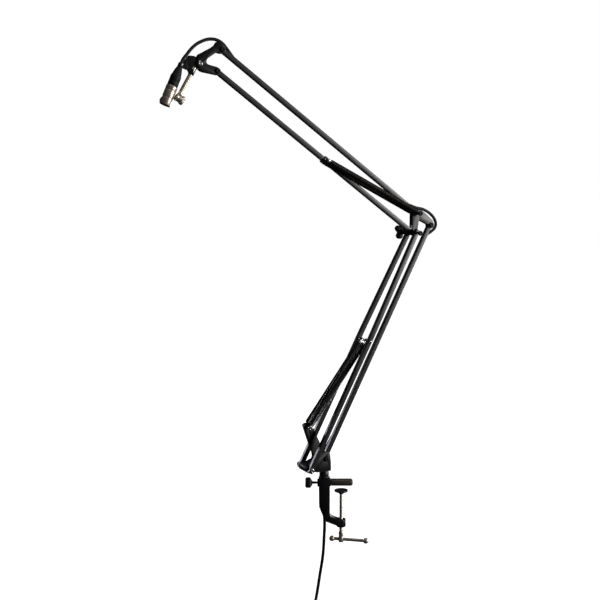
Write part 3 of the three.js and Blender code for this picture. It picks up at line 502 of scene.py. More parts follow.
def coil_point(degrees):
    """A point of the wound lead: four outer turns out, four inner turns back, then clear in front.

    Each turn is flat but for its last 60 degrees, where it steps over to the next one."""
    edge = 1.5 * PITCH
    if degrees <= COIL_START:
        t = (degrees - TAIL_ANGLE) / (COIL_START - TAIL_ANGLE)
        radius = TAIL_RADIUS + (OUTER - TAIL_RADIUS) * smooth_step(t)
        y = TAIL_Y - COIL_Y + (COIL_Y - edge - TAIL_Y) * t
    elif degrees < TURN_IN:
        turn, inside = divmod(degrees - COIL_START, 360)
        jog = smooth_step((inside - 300) / 60)
        radius = OUTER - (OUTER - INNER) * (jog if turn == 3 else 0)
        y = -edge + PITCH * (turn + (jog if turn < 3 else 0))
    else:
        turn, inside = divmod(degrees - TURN_IN, 360)
        jog = smooth_step((inside - 300) / 60)
        out = smooth_step((degrees - COIL_END + 100) / 100)
        radius = INNER + (COIL_X - PLUG_X - INNER) * out
        y = edge - PITCH * min(3, turn + (jog if turn < 3 else 0))
        y += (PLUG_Y - COIL_Y - y) * out
    a = math.radians(degrees)
    return np.array([COIL_X + radius * math.cos(a), COIL_Y + y, COIL_Z + radius * math.sin(a)])


tail = [
    (SWIVEL_X, SADDLE_Y, SADDLE_Z - 8), (SWIVEL_X, SADDLE_Y, -52), (SWIVEL_X + 1.2, SADDLE_Y, -75),
    (SWIVEL_X + 0.4, SADDLE_Y, -100), (SWIVEL_X - 1.8, SADDLE_Y, -135), (SWIVEL_X - 7.3, SADDLE_Y, -172),
    (SWIVEL_X - 13.7, SADDLE_Y - 3, -212), (SWIVEL_X - 17.4, SADDLE_Y - 6.5, -226),
]
wound = [coil_point(d) for d in np.arange(120, COIL_END, 12)]
down = [(PLUG_X, PLUG_Y, z)
        for z in (COIL_Z, COIL_Z - 12, COIL_Z - 28, BOOT_TOP - 14, BOOT_TOP - BOOT_LONG + 1)]
free_path = np.concatenate([
    spline([*tail, wound[0], wound[1]], 8)[:-1], np.array(wound[1:-1]), spline([wound[-1], *down], 8)])
free_lead = form("free_lead", [sweep(spline(free_path, 4), CABLE, 12, (0, 1, 0))], DESK)
dressed(free_lead, JACKET, ["lead_tail", "lead_coil", "lead_plug_end"], "clamp")


def plug_down(z):
    return np.array([PLUG_X, PLUG_Y, z], float)


below = plug_down(-900)
ribs = []
for k in range(5):
    wider, lower = 0.42 * k, 2.6 * k
    ribs += [[5.3 + wider, 3 + lower], [4.6 + wider, 3.5 + lower],
             [4.6 + wider, 5.0 + lower], [5.7 + wider, 5.5 + lower]]
plug_boot = form("free_plug_boot", [lathe(
    [[CABLE, 0], [4.6, 0], [5.0, 2.4], *ribs, [8.0, 18.5], [8.7, 21], [8.7, BOOT_LONG],
     [CABLE, BOOT_LONG], [CABLE, 0]],
    plug_down(BOOT_TOP), below, 36, 0.3)], DESK)
dressed(plug_boot, RUBBER, "plug_boot")

shell_top = BOOT_TOP - BOOT_LONG - GAP
PIN_CIRCLE = 4.4


def plug_pin(degrees):
    """One contact pin inside the plug's shell."""
    a = math.radians(degrees)
    aside = PIN_CIRCLE * np.array([math.cos(a), math.sin(a), 0])
    return lathe([[0, 24], [1.2, 24], [1.2, 35.4], [0.7, 36.6], [0, 36.8]],
                 plug_down(shell_top) + aside, below + aside, 16, 0.15)


key_ridge = [(PLUG_X + dx, shell_top - drop) for dx, drop in ((-1.6, 34), (1.6, 34), (1.6, 29), (-1.6, 29))]
plug_shell = form("free_plug_shell", [
    lathe([[0, 0], [8.6, 0], [9.4, 0.8], [9.5, 3], [9.5, 21.5], [8.9, 22], [8.9, 23], [9.5, 23.6],
           [9.5, 24.4], [9.1, 25], [9.1, 40], [8.2, 40], [8.2, 24.2], [0, 24.2]],
          plug_down(shell_top), below, 48, 0.25),
    *[plug_pin(degrees) for degrees in (90, 210, 330)],
    prism(key_ridge, PLUG_Y - 9.45, PLUG_Y - 8.6, 0.15)], DESK)
dressed(plug_shell, SATIN, "plug_shell")


def strap(outer, thick, width, centre):
    """A flat band round the bundle, as a closed loop with a free end lapped over it."""
    x0, y0, z0 = centre
    ring = [at(outer[0] * a, outer[1] * b) for a, b in ((1, 1), (-1, 1), (-1, -1), (1, -1))]
    line = eased(ring, 3.6, True)
    verts, faces = [], []
    for push in (0, -thick):
        for dx in (-width / 2, width / 2):
            for q in line:
                length = np.linalg.norm(q)
                y, z = q * (1 + push / length)
                verts.append((x0 + dx, y0 + y, z0 + z))
    n = len(line)
    for k in range(n):
        m = (k + 1) % n
        faces += [(k, m, n + m, n + k), (2 * n + k, 2 * n + m, m, k), (n + k, n + m, 3 * n + m, 3 * n + k),
                  (3 * n + k, 3 * n + m, 2 * n + m, 2 * n + k)]
    return verts, faces


lap = [(COIL_X + dx, COIL_Z + dz) for dx, dz in ((-3.6, 39.4), (3.6, 39.4), (3.6, 40.4), (-3.6, 40.4))]
tie = form("coil_strap", [
    strap((13.0, 7.3), 1.0, 8, (COIL_X, COIL_Y, COIL_Z + 32.1)),
    prism(lap, COIL_Y - 6, COIL_Y + 9, 0.3)], DESK)
dressed(tie, WEBBING, "coil_tie")


# ---- the lead held along the arm -----------------------------------------------------------------
def top_at(d, n):
    """A place d down the top tube from its front pivot, n above its middle."""
    return in3(top_front - fore_run * d + fore_up * n)


def back_at(d, n):
    """A place d up the top tube from its rear pivot, n above its middle."""
    return in3(top_back + fore_run * d + fore_up * n)


def rear_at(d, n):
    """A place d down the rear tube from its top pivot, n behind its middle."""
    return in3(rear_top - lower_run * d + lower_right * n)


def foot_at(d, y):
    """A place d up the rear tube from its foot, y to the side of the plane."""
    return in3(rear_foot + lower_run * d, y)


def plug_at(d, n=0.0, y=0.0):
    """A place d along the connector from its mouth, n across it and y to the side."""
    return in3(mouth + plug_run * d + plug_across * n, y)


def near_tilt(x, z):
    """A place beside the bolt that the head tilts about."""
    return in3(tilt + at(x, z))


def near_elbow(x, z):
    """A place beside the elbow's long bolt."""
    return in3(pair_top + at(x, z))


def held_lead(name, node, points, space=ARM):
    """A length of the lead along the points, which run from one body to the next."""
    o = form(name, [sweep(spline(points, 2.2), CABLE, 14, (0, 1, 0) if space is ARM else (1, 0, 0))], space)
    dressed(o, JACKET, node, "later")
    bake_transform(o)


crown = near_tilt(1.4, 34.5)
elbow_crown = near_elbow(37.5, 34.2)
drop = np.array([7.5, 13.6, rear_foot[1] - 2])
held_lead("lead_at_head", "lead_head", [
    plug_at(36), plug_at(66), plug_at(74.5), near_tilt(-26.3, 6.9), near_tilt(-19.5, 15.1),
    near_tilt(-12.8, 23.3), near_tilt(-4.1, 31.1), crown,
])
held_lead("lead_in_forearm", "lead_forearm", [
    crown, near_tilt(12, 39.2), near_tilt(22, 41), near_tilt(32, 40), near_tilt(41, 35.4), top_at(6, 7.4),
    top_at(14, 5.2), top_at(26, 2), top_at(38, 0.1), top_at(60, 0), back_at(200, 0), back_at(60, 0),
    back_at(38, 0.1), back_at(26, 1.8), back_at(14, 5.1), back_at(4.6, 8.2),
])
held_lead("lead_at_elbow", "lead_elbow", [
    back_at(4.6, 8.2), near_elbow(20.5, 42.6), near_elbow(30.6, 38.4), elbow_crown,
])
held_lead("lead_in_lower_arm", "lead_lower_arm", [
    elbow_crown, near_elbow(44.6, 27.5), near_elbow(48.9, 20), near_elbow(49.9, 13.5), near_elbow(47.5, 7.2),
    rear_at(8, 9.6), rear_at(13, 6.5), rear_at(18, 3.2), rear_at(26, 0.6), rear_at(36, 0), rear_at(80, 0),
    foot_at(200, 0), foot_at(70, 0), foot_at(60, 0.4), foot_at(52, 2.2), foot_at(44, 5), foot_at(36, 6.9),
    foot_at(32, 7.25),
])
held_lead("lead_at_shoulder", "lead_shoulder", [
    foot_at(32.2, 7.25), foot_at(24, 8.6), foot_at(16, 11.8), (7.6, 13.4, rear_foot[1] + 7), drop,
])
to_arm = ARM.inverted() @ DESK
held_lead("lead_at_swivel", "lead_swivel", [
    drop, (5, 14.6, rear_foot[1] - 14), (4.5, 15, 20), to_arm @ Vector((SWIVEL_X - 1.5, 15.8, 2)),
    to_arm @ Vector((SWIVEL_X, SADDLE_Y, -14)), to_arm @ Vector((SWIVEL_X, SADDLE_Y, SADDLE_Z)),
    to_arm @ Vector((SWIVEL_X, SADDLE_Y, SADDLE_Z - 8.2)),
])

# ---- tubes ---------------------------------------------------------------------------------------
TUBE_END, BEND_EASE = 6, 62000


def pair_tube(name, side):
    """A front tube: straight up to the cross pin, then drawing in towards the elbow.

    The bend grows with the square of the distance from its start, over BEND_EASE."""
    narrowing = PAIR_HALF_TOP - PAIR_HALF
    bend = [in3(cross_pin + lower_run * d, side * (PAIR_HALF + narrowing * max(0, d + 7) ** 2 / BEND_EASE))
            for d in (-14, -7, 0, 7, 14)]
    foot = in3(pair_foot - lower_run * TUBE_END, side * PAIR_HALF)
    top = in3(pair_top + lower_run * TUBE_END, side * PAIR_HALF_TOP)
    return form(name, [square_tube([foot, *bend, top])])


def plain_tube(name, start, end, run):
    """A straight tube that runs a little past both of its pivots."""
    return form(name, [square_tube([in3(start - run * TUBE_END), in3(end + run * TUBE_END)])])


slot = CABLE + GAP + 0.2
SLOT_START, SLOT_LOW, SLOT_HIGH = 6, 1, 9
REAR_SLOT, TOP_SLOT, FOOT_SLOT_START, FOOT_SLOT_END = 36, 38, 28, 64


def slot_cutter(corners, y0, y1):
    """A block with rounded rims, as wide as the slot that it cuts."""
    return form("cutter", [prism(corners, y0, y1, 0.3)])


def end_slot(place, long):
    """The cutter of a slot in the upper wall, where the lead goes into the tube."""
    corners = ((SLOT_START, SLOT_LOW), (SLOT_START, SLOT_HIGH), (long, SLOT_HIGH), (long, SLOT_LOW))
    return slot_cutter([place(d, n)[[0, 2]] for d, n in corners], -slot, slot)


for near_far, side in (("near", -1), ("far", 1)):
    dressed(pair_tube("parallel_tube_" + near_far, side), PAINT, "pair_tube_" + near_far)

rear = plain_tube("rear_lower_tube", rear_foot, rear_top, lower_run)
foot_a, foot_b = rear_foot + lower_run * FOOT_SLOT_END, rear_foot + lower_run * FOOT_SLOT_START
foot_slot = [foot_a + lower_right * slot, foot_b + lower_right * slot,
             foot_b - lower_right * slot, foot_a - lower_right * slot]
drilled(rear, end_slot(rear_at, REAR_SLOT), slot_cutter(foot_slot, SLOT_LOW, SLOT_HIGH))
dressed(rear, PAINT, "rear_tube")

upper = plain_tube("upper_forearm_tube", top_back, top_front, fore_run)
drilled(upper, end_slot(top_at, TOP_SLOT), end_slot(back_at, TOP_SLOT))
dressed(upper, PAINT, "forearm_top_tube")
dressed(plain_tube("lower_forearm_tube", pair_top, low_front, fore_run), PAINT, "forearm_bottom_tube")


# ---- springs -------------------------------------------------------------------------------------
WIRE, COIL_RADIUS, HOOK_LONG, WIRE_STEP, SIDES_A_TURN = 0.75, 4.25, 7.0, 1.6, 13
LENGTH_MARKS = (0, 0.05, 0.1, 0.2, 0.35, 0.6, 1)


def spring_path(start, end, ra, rb):
    """The wire's middle line: a hook round each pin, of radius ra and rb, and the wound part between."""
    axis = unit(end - start)
    depth = np.array([0.0, 1, 0])
    across = np.cross(depth, axis)
    long = np.linalg.norm(end - start) - 2 * HOOK_LONG
    turns = round(long / WIRE_STEP)

    def hook(centre, way, r):
        points = [centre + r * (way * axis * math.cos(w) + across * math.sin(w))
                  for w in np.radians(np.arange(62, 305, 22))]
        return points + [centre + way * axis * (r + 0.9) - across * 1.2,
                         centre + way * axis * (HOOK_LONG - 2.2) + across * 1.8]

    def join(centre, way):
        return centre + way * axis * (HOOK_LONG - 0.9) + across * COIL_RADIUS * 0.93
    first = spline([*hook(start, 1, ra + WIRE + 0.15), join(start, 1)], 1.2)
    last = spline([*hook(end, -1, rb + WIRE + 0.15), join(end, -1)], 1.2)[::-1]
    body = []
    for k in range(turns * SIDES_A_TURN + 1):
        w = 2 * math.pi * k / SIDES_A_TURN
        along = HOOK_LONG + long * k / (turns * SIDES_A_TURN)
        body.append(start + axis * along + COIL_RADIUS * (across * math.cos(w) + depth * math.sin(w)))
    return np.concatenate([first, body, last])


def spring(name, node, a, b, y, ra, rb, hinge):
    """A close-wound tension spring with a hook round the pin at each end, made in lengths.

    The hinge is not used."""
    start, end, hinge = in3(a, y), in3(b, y), in3(hinge, y)
    path = spring_path(start, end, ra, rb)
    reach = end - start
    done = (path - start) @ reach / (reach @ reach)

    cuts = [0, *[int(np.argmax(done >= m)) for m in LENGTH_MARKS[1:-1]], len(path) - 1]
    for k, (low, high) in enumerate(zip(LENGTH_MARKS, LENGTH_MARKS[1:])):
        o = form("%s_%d" % (name, k + 1), [sweep(path[cuts[k]:cuts[k + 1] + 1], WIRE, 7, (0, 1, 0))])
        dressed(o, SPRING, node, "later", 60)
        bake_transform(o)


for near_far, side in (("near", -1), ("far", 1)):
    spring("lower_arm_spring_" + near_far, "lower_spring_" + near_far, spring_foot, cross_pin, side * 9,
           BOLT, PIN, pair_foot)
    spring("upper_arm_spring_" + near_far, "forearm_spring_" + near_far, top_back, collar, side * 11.5,
           BOLT, PIN, pair_top)


# ---- bolts, pins and spacers ---------------------------------------------------------------------
HEAD_HIGH, TIP_OUT, BOSS, PLAY, NUT_FLAT = 3, 3, 8.5, 1, 4.15


def bolt(node, p, head_y, tip_y, finish, radius=BOLT):
    """A bolt with a hex socket in its round head, and grooves for the thread near its tip."""
    way, length = math.copysign(1, tip_y - head_y), abs(tip_y - head_y)
    profile = [[0, 1.6], [radius * 0.72, 1.6], [radius * 0.72, 0.1], [radius * 1.25, 0.0],
               [radius * 1.7, 0.75], [radius * 1.9, 1.7], [radius * 1.9, HEAD_HIGH], [radius, HEAD_HIGH],
               [radius, length - 5.2]]
    for k in range(8):
        profile += [[radius - 0.3, length - 4.9 + 0.55 * k], [radius, length - 4.6 + 0.55 * k]]
    profile += [[radius - 0.5, length], [0, length]]
    socket = hexed(radius * 0.72, below=1.7)
    o = form(node + "_turned", [lathe(profile, in3(p, head_y), in3(p, head_y + way), 36, 0.18, socket)])
    dressed(o, finish, node)


def ring(node, p, y0, y1, inner, outer, finish, soft=0.4, shape=None, sides=36):
    """A drilled round piece on the hinge axis at p, from y0 to y1."""
    profile = [[inner, 0], [outer, 0], [outer, y1 - y0], [inner, y1 - y0], [inner, 0]]
    o = form(node + "_turned", [lathe(profile, in3(p, y0), in3(p, y1), sides, soft, shape)])
    dressed(o, finish, node)


def nut(node, p, y0, y1):
    """A hexagon nut on a bolt."""
    ring(node, p, y0, y1, BOLT + GAP, NUT_FLAT, ZINC, 0.5, hexed(NUT_FLAT), 48)


def capped_pin(node, p, half, radius, finish):
    """A pin with a small rounded cap at each end."""
    cap, long = radius + 1.1, 2 * half
    profile = [[0, 0], [radius * 0.8, 0], [cap, 0.9], [cap, 2.0], [radius, 2.0], [radius, long - 2],
               [cap, long - 2], [cap, long - 0.9], [radius * 0.8, long], [0, long]]
    o = form(node + "_turned", [lathe(profile, in3(p, -half), in3(p, half), 32, 0.25)])
    dressed(o, finish, node)


cheek = HALF_IN + SHEET + GAP
pair_face = PAIR_HALF + TUBE / 2 + GAP
bolt("shoulder_pair_bolt", pair_foot, -pair_face - HEAD_HIGH, pair_face + 4.5, ZINC)
bolt("shoulder_rear_bolt", rear_foot, -BOSS - GAP - HEAD_HIGH, BOSS, BLACKED)
bolt("lower_spring_bolt", spring_foot, -14.5, 15, ZINC)
bolt("elbow_bolt", pair_top, -31, 42, BLACKED)
bolt("elbow_top_bolt", top_back, -16.5, 16, BLACKED)
for node, p, finish in (("elbow_rear_bolt", rear_top, BLACKED), ("head_top_bolt", top_front, BLACKED),
                        ("head_low_bolt", low_front, BLACKED), ("tilt_bolt", tilt, ZINC)):
    bolt(node, p, -cheek - HEAD_HIGH, cheek + TIP_OUT, finish)
nut("shoulder_pair_nut", pair_foot, pair_face, pair_face + 4)
nut("lower_spring_nut", spring_foot, 10.8, 14)
ring("elbow_spacer_near", pair_top, -PAIR_HALF_TOP + TUBE / 2 + PLAY, -cheek, BOLT + GAP, 4.6, PLASTIC)
ring("elbow_spacer_far", pair_top, cheek, PAIR_HALF_TOP - TUBE / 2 - PLAY, BOLT + GAP, 4.6, PLASTIC)
ring("elbow_sleeve", pair_top, PAIR_HALF_TOP + TUBE / 2 + PLAY, 29, BOLT + GAP, 4.4, PLASTIC, 0.6)
capped_pin("mid_cross_pin", cross_pin, PAIR_HALF + TUBE / 2 + 2.5, PIN, ZINC)
capped_pin("collar_pin", collar, 16.5, PIN, ZINC)

# ---- brackets, clamp casting and clips -----------------------------------------------------------
refined("base_bracket", CAST, 0.8)


def merged(o, other):
    """The object with another's mesh added to it; the other is removed."""
    bm = bmesh.new()
    bm.from_mesh(o.data)
    bm.from_mesh(other.data)
    bm.to_mesh(o.data)
    bm.free()
    bpy.data.objects.remove(other)
    return o


def channel(node, pivot, face, webs, holes, finish):
    """A pressed channel: two drilled cheeks of one outline, joined by folded webs."""
    inner, outer = HALF_IN, HALF_IN + SHEET
    rim = eased([pivot + at(*q) for q in face], 1.2, True)
    o = form(node + "_pressed", [prism(rim, -outer, -inner, 0.35), prism(rim, inner, outer, 0.35)])
    hole = [[0, -20], [BOLT + GAP, -20], [BOLT + GAP, 20], [0, 20]]
    drilled(o, *[form("cutter", [lathe(hole, in3(q), in3(q, 1), 32, 0)]) for q in holes])
    merged(o, form("webs", [prism([pivot + at(*q) for q in web], -inner - 0.1, inner + 0.1, 0.1)
                            for web in webs]))
    dressed(o, finish, node)


channel("elbow_bracket", pair_top, [
    (-3.4, -3.6), (0, -5.2), (3.6, -4.6), (7.2, -1), (8, 5), (10.3, 20.3), (12.4, 23), (31, 14.4), (31.5, 9),
    (36, 6.6), (41.5, 9), (43, 15), (39, 22.8), (21.6, 37), (15, 41), (6, 41.6), (-1, 39), (-2.6, 34),
    (-2.8, 3),
], [
    [(-2.6, 13.6), (-1.3, 13.6), (-1.2, 24), (-2.5, 24)],
    [(38.8, 22.8), (21.5, 36.9), (20.7, 35.9), (38.1, 21.7)],
], [pair_top, rear_top, top_back], ELBOW_PAINT)
channel("head_bracket", tilt, [
    (-0.9, 15.1), (6.8, 19), (14, 23.1), (21.2, 26.9), (28, 31.5), (30.6, 36.7), (34.5, 38.6), (41, 33.1),
    (45.4, 28), (45.6, 22), (41.5, 18.5), (37.2, 18.3), (30.2, 20), (22.9, 15.1), (15.8, 10.3), (12.6, 7.7),
    (11.3, 3.6), (12.6, 0.2), (15.8, -1), (23, -2.6), (30.2, -4.1), (34.7, -7.1), (36.4, -11.2),
    (32.4, -16.9), (25.7, -15.9), (13, -13.9), (6.5, -13), (1.4, -11), (-3.1, -6.2), (-4.9, 0.3), (-4.2, 8.5),
], [
    [(8.4, -7), (12.2, -4.8), (12.0, 0), (10.6, 3.6), (11.6, 7.3), (8.6, 7.3)],
], [top_front, low_front, tilt], BRACKET)
refined("spring_collar", PAINT, 0.3)
refined("clamp_frame", CAST, 1.0)
refined("cable_saddle", PLASTIC, 0.3)
refined("knuckle", GLOSSY, 0.5)
refined("cable_clip", GLOSSY, 0.5)
refined("connector_latch", SATIN, 0.2)

# ---- clamp ---------------------------------------------------------------------------------------
ABOVE, BELOW, POST_LOW = 200, -200, -25
THUMB_X, THUMB_Z, PAD_TOP = -64.7, 5.4, -7.8
SCREW_RADIUS, SCREW_PITCH, SCREW_DEPTH, SCREW_LONG, SCREW_Z = 3.3, 1.5, 0.4, 82.7, -10.5
HEAD_Z, BAR_Z, BAR_TURN = -85.2, -99, math.radians(13)

o = form("swivel_post_turned", [lathe(
    [[0, 0], [4.4, 0], [5, 1], [5, 40.3], [8.9, 40.3], [8.9, 41.6], [8.3, 42.0], [8.3, 42.7], [8.9, 43.1],
     [8.9, 47.6], [7.9, 52.6], [4, 52.6], [4, 60.6], [0, 60.6]], (0, 0, POST_LOW), (0, 0, ABOVE), 48, 0.3)])
dressed(o, PAINT, "swivel_post")


def flat_below(o):
    """Cuts off what is below z = 0 and closes the cut."""
    bm = bmesh.new()
    bm.from_mesh(o.data)
    cut = bmesh.ops.bisect_plane(bm, geom=[*bm.verts, *bm.edges, *bm.faces], plane_co=(0, 0, 0),
                                 plane_no=(0, 0, -1), clear_outer=True)
    bmesh.ops.contextual_create(bm, geom=[e for e in cut["geom_cut"] if isinstance(e, bmesh.types.BMEdge)])
    bmesh.ops.recalc_face_normals(bm, faces=bm.faces)
    bm.to_mesh(o.data)
    bm.free()
    return o


jaw_left, jaw_r = SWIVEL_X + 10 + 2.8, 6.6
jaw_z, jaw_long = jaw_r - 0.4, 20.7 - jaw_left
jaw = form("upper_jaw_bar", [lathe(
    [[0, -5], [4, -5], [4, 0], [jaw_r, 0], [jaw_r, jaw_long - 2.6], [jaw_r - 2.2, jaw_long], [0, jaw_long]],
    (jaw_left, 0, jaw_z), (90, 0, jaw_z), 64, 0.7)], DESK)
dressed(flat_below(jaw), JAW_ENAMEL_PAINTED_LIGHT, "upper_jaw")

thumb_start, thumb_way = (THUMB_X, 0, THUMB_Z), (0, 0, THUMB_Z)
o = form("thumbscrew_turned", [
    lathe([[0, 0.7], [3.4, 0.7], [4.2, 0], [7.4, 0], [9.3, 1.6], [9.5, 2.6], [9.5, 8.4], [8.8, 9.6],
           [6.4, 10.9], [4.6, 13], [0, 13]], thumb_start, thumb_way, 72, 0.4, fluted(1.1, 12, 1.1, 10.5)),
    thread(2.35, 0.8, 0.3, 12.6, 28.7, thumb_start, thumb_way, 18)], DESK)
dressed(o, PLASTIC, "thumbscrew")

o = form("pressure_pad", [lathe(
    [[0, 0.4], [9.6, 0.4], [10.2, 0], [11.8, 0], [12.4, 0.7], [12.4, 2.7], [11, 3.4], [7.5, 4.4], [4.9, 5.2],
     [4.5, 5.9], [4.5, 7.4], [3.8, 7.4], [3.8, 2.4], [0, 2.4]],
    (0, 0, PAD_TOP), (0, 0, BELOW), 56, 0.35)], DESK)
dressed(o, PLASTIC, "clamp_pad")

o = form("clamp_screw_threaded", [thread(
    SCREW_RADIUS, SCREW_PITCH, SCREW_DEPTH, 0, SCREW_LONG, (0, 0, SCREW_Z), (0, 0, BELOW), 26)], DESK)
dressed(o, NICKEL, "clamp_screw", smooth=60)

bar_middle = np.array([0, 0, BAR_Z])
bar_way = np.array([math.cos(BAR_TURN), -math.sin(BAR_TURN), 0])
sleeve = form("screw_head_turned", [lathe(
    [[0, 8.3], [3.5, 8.3], [3.5, 0], [4.1, 0], [4.4, 0.8], [4.4, 7.4], [4.15, 7.9], [4.15, 8.6], [4.4, 9.1],
     [4.4, 18.2], [4.0, 19], [0, 19]], (0, 0, HEAD_Z), (0, 0, BELOW), 44, 0.25)], DESK)
bar_hole = [[0, -12], [2.15, -12], [2.15, 12], [0, 12]]
drilled(sleeve, form("cutter", [lathe(bar_hole, bar_middle, bar_middle + bar_way, 32, 0)], DESK))
dressed(sleeve, NICKEL, "screw_head")

ball, bar_half, bar_shift, ball_arc, ball_steps = 5.2, 31, 14.3, 2.76, 14
profile = [[0, -bar_half - ball]]
for end in (-1, 1):
    for k in range(1, ball_steps):
        a = k / ball_steps * ball_arc + (0 if end < 0 else math.pi - ball_arc)
        profile.append([ball * math.sin(a), end * bar_half - ball * math.cos(a)])
profile.append([0, bar_half + ball])
o = form("tommy_bar_turned", [
    lathe(profile, bar_middle + bar_shift * bar_way, bar_middle + 90 * bar_way, 32, 0)], DESK)
dressed(o, NICKEL, "tommy_bar", smooth=30)

# ---- elbow knob ----------------------------------------------------------------------------------
LOBE_STEPS, LOBE_TURN = 72, 10
LOBE_MEAN, LOBE_RISE, LOBE_FLAT = 10.4, 3.7, 0.5
KNOB_FOOT, KNOB_START, KNOB_END = 33, 36.5, 47
lobes = []
for k in range(LOBE_STEPS):
    a = 2 * math.pi * k / LOBE_STEPS
    w = a - math.radians(LOBE_TURN)
    r = LOBE_MEAN + LOBE_RISE * math.cos(3 * w) - LOBE_FLAT * math.cos(6 * w)
    lobes.append(pair_top + r * at(math.cos(a), math.sin(a)))
o = form("lobed_knob", [
    prism(lobes, KNOB_START, KNOB_END, 2.0),
    lathe([[BOLT + GAP, 0], [4.6, 0], [5, 0.6], [5, 14], [3.9, 14.8], [0, 15], [0, 9.3], [BOLT + GAP, 9.3],
           [BOLT + GAP, 0]], in3(pair_top, KNOB_FOOT), in3(pair_top, KNOB_END), 40, 0.4)])
dressed(o, PLASTIC, "elbow_knob")

# ---- head: rod, barrel, ring and connector -------------------------------------------------------
ROD_RADIUS, ROD_PITCH, ROD_DEPTH, ROD_START = 4, 1.25, 0.2, -1.5
BARREL_HALF, BARREL_ROOM, RING_GAP, CONTACT_CIRCLE = 5, 6.7, 0.3, 4
rod_top = rod_foot + rod_run * ROD_START
rod_long = np.linalg.norm(adapter - rod_top) - BARREL_ROOM
o = form("rod_threaded", [thread(
    ROD_RADIUS, ROD_PITCH, ROD_DEPTH, 0, rod_long, in3(rod_top), in3(rod_top + rod_run), 28)])
dressed(o, NICKEL, "thread_rod", smooth=60)
barrel_start = adapter - rod_side * BARREL_HALF
o = form("cross_barrel", [lathe(
    [[2.8, 0], [5.4, 0], [6.2, 0.8], [6.2, 3.2], [5.9, 3.6], [5.9, 6.4], [6.2, 6.8], [6.2, 9.4], [5.8, 10],
     [2.8, 10], [2.8, 0]],
    in3(barrel_start), in3(barrel_start + rod_side), 56, 0.2)])
dressed(o, NICKEL, "thread_barrel")
ring_start = adapter + rod_side * (BARREL_HALF + RING_GAP)


def knurl(a, r, h):
    """Forty-four grooves round the ring's rim."""
    return r - 0.28 * abs(math.sin(22 * a)) if r > 7.2 and 0.3 < h < 4.4 else r


o = form("knurled_ring", [lathe(
    [[0, -7], [2.2, -7], [2.4, -6.6], [2.4, 0], [7.2, 0], [7.6, 0.4], [7.6, 4.2], [6.8, 5], [0, 5]],
    in3(ring_start), in3(ring_start + rod_side), 132, 0.2, knurl)])
dressed(o, NICKEL, "thread_ring")

shell = form("socket_shell", [lathe(
    [[8.1, 0], [9.0, 0], [9.5, 0.6], [9.5, 11.2], [8.75, 11.6], [8.75, 13.1], [9.5, 13.5], [9.5, 24.4],
     [9.25, 24.8], [9.25, 25.6], [9.5, 26], [9.5, 32.4], [9.0, 33], [8.1, 33], [8.1, 0]],
    plug_at(0), plug_at(10), 64, 0.2)])
latch_window = [plug_at(d, n)[[0, 2]] for d, n in ((1.5, -7), (10.5, -7), (10.5, -12), (1.5, -12))]
drilled(shell, form("cutter", [prism(latch_window, -2.6, 2.6, 0.4)]))
dressed(shell, SATIN, "connector_shell")


def contact_hole(degrees):
    """The cutter of one contact hole in the socket's insert."""
    a = np.radians(degrees)
    n, y = CONTACT_CIRCLE * math.sin(a), CONTACT_CIRCLE * math.cos(a)
    hole = [[0, 0], [1.3, 0], [1.3, 14], [0, 14]]
    return form("cutter", [lathe(hole, plug_at(1, n, y), plug_at(20, n, y), 20, 0)])


insert = form("socket_insert", [lathe(
    [[0, 2], [7.2, 2], [7.8, 2.6], [7.8, 30], [0, 30]], plug_at(0), plug_at(10), 48, 0.2)])
drilled(insert, *[contact_hole(degrees) for degrees in (0, 120, 240)])
dressed(insert, PLASTIC, "connector_insert")

o = form("socket_boot", [lathe(
    [[CABLE, 0], [8.4, 0], [8.9, 0.8], [8.9, 7.6], [8.6, 8.2], [8.6, 9.0], [8.9, 9.6], [8.9, 16.2],
     [8.6, 17.2], [8.3, 19], [7.8, 19.6], [7.7, 21.4], [7.3, 22], [7.2, 24.2], [6.7, 24.8], [6.6, 26.8],
     [6.0, 27.4], [5.9, 29.4], [5.3, 30], [4.9, 32.7], [CABLE, 32.7], [CABLE, 0]],
    plug_at(33.3), plug_at(66), 44, 0.25)])
dressed(o, RUBBER, "connector_boot")


# ---- floor, light and world ----------------------------------------------------------------------
def plain(name, colour, strength):
    """A flat matt surface that also glows, so that the ground stays even."""
    m = bpy.data.materials.new(name)
    m.use_nodes = True
    surface = m.node_tree.nodes["Principled BSDF"]
    surface.inputs["Base Color"].default_value = (*colour, 1)
    surface.inputs["Roughness"].default_value = 0.9
    surface.inputs["Emission Color"].default_value = (1, 1, 1, 1)
    surface.inputs["Emission Strength"].default_value = strength
    return m


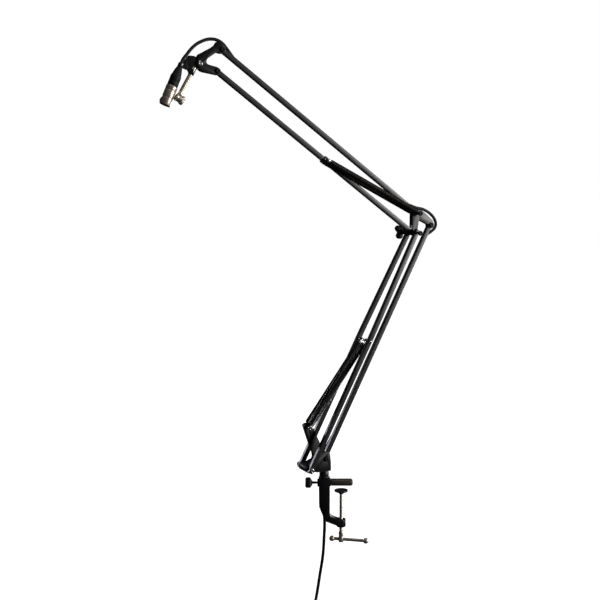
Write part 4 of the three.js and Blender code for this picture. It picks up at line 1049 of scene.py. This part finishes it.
FLOOR_HALF, FLOOR_DROP = 40, 0.003
corners = [(x * FLOOR_HALF, y * FLOOR_HALF, 0) for x, y in ((-1, -1), (1, -1), (1, 1), (-1, 1))]
mesh = bpy.data.meshes.new("floor")
mesh.from_pydata(corners, [], [(0, 1, 2, 3)])
floor = link(mesh, "floor")
floor.location = (0, 0, CAD_BOX[0][2] - FLOOR_DROP)
mesh.materials.append(plain("pale_floor", (0.82, 0.82, 0.82), 1.0))
floor.visible_glossy = False
floor.visible_diffuse = False


def area_light(name, place, toward, size, power, colour=(1, 1, 1)):
    """A rectangular light that the camera can't see."""
    data = bpy.data.lights.new(name, "AREA")
    data.shape, data.size, data.size_y = "RECTANGLE", *size
    data.energy, data.color = power, colour
    o = bpy.data.objects.new(name, data)
    o.location = place
    o.rotation_euler = (Vector(toward) - Vector(place)).to_track_quat("-Z", "Y").to_euler()
    scene.collection.objects.link(o)
    o.visible_camera = False
    return o


area_light("key_right", (3.4, -1.1, 0.8), (0.1, 0, 0.45), (1.0, 1.2), 110, (1.0, 0.985, 0.96))
area_light("top_soft", (0.2, -0.6, 3.0), (0, 0, 0.3), (1.6, 1.6), 12, (1.0, 0.96, 0.9))
area_light("back_soft", (1.4, 2.6, -0.35), (0, 0, 0.35), (1.4, 1.4), 60, (1.0, 0.98, 0.95))
STRIP_SPREAD = 26
strip = area_light("edge_strip", (-1.47, 1.06, 0.41), (-0.06, 0, -0.03), (0.3, 0.3), 0.14, (0.88, 0.86, 1.0))
strip.data.spread = math.radians(STRIP_SPREAD)

ROOM, BACKDROP = (0.03, 0.03, 0.032, 1), (1, 1, 1, 1)
sky = bpy.data.worlds.new("studio")
sky.use_nodes = True
tree = sky.node_tree
tree.nodes.clear()
out = tree.nodes.new("ShaderNodeOutputWorld")
mixed = tree.nodes.new("ShaderNodeMixShader")
ray = tree.nodes.new("ShaderNodeLightPath")
dim, bright = tree.nodes.new("ShaderNodeBackground"), tree.nodes.new("ShaderNodeBackground")
dim.inputs["Color"].default_value = ROOM
bright.inputs["Color"].default_value = BACKDROP
tree.links.new(ray.outputs["Is Camera Ray"], mixed.inputs[0])
tree.links.new(dim.outputs[0], mixed.inputs[1])
tree.links.new(bright.outputs[0], mixed.inputs[2])
tree.links.new(mixed.outputs[0], out.inputs[0])
scene.world = sky
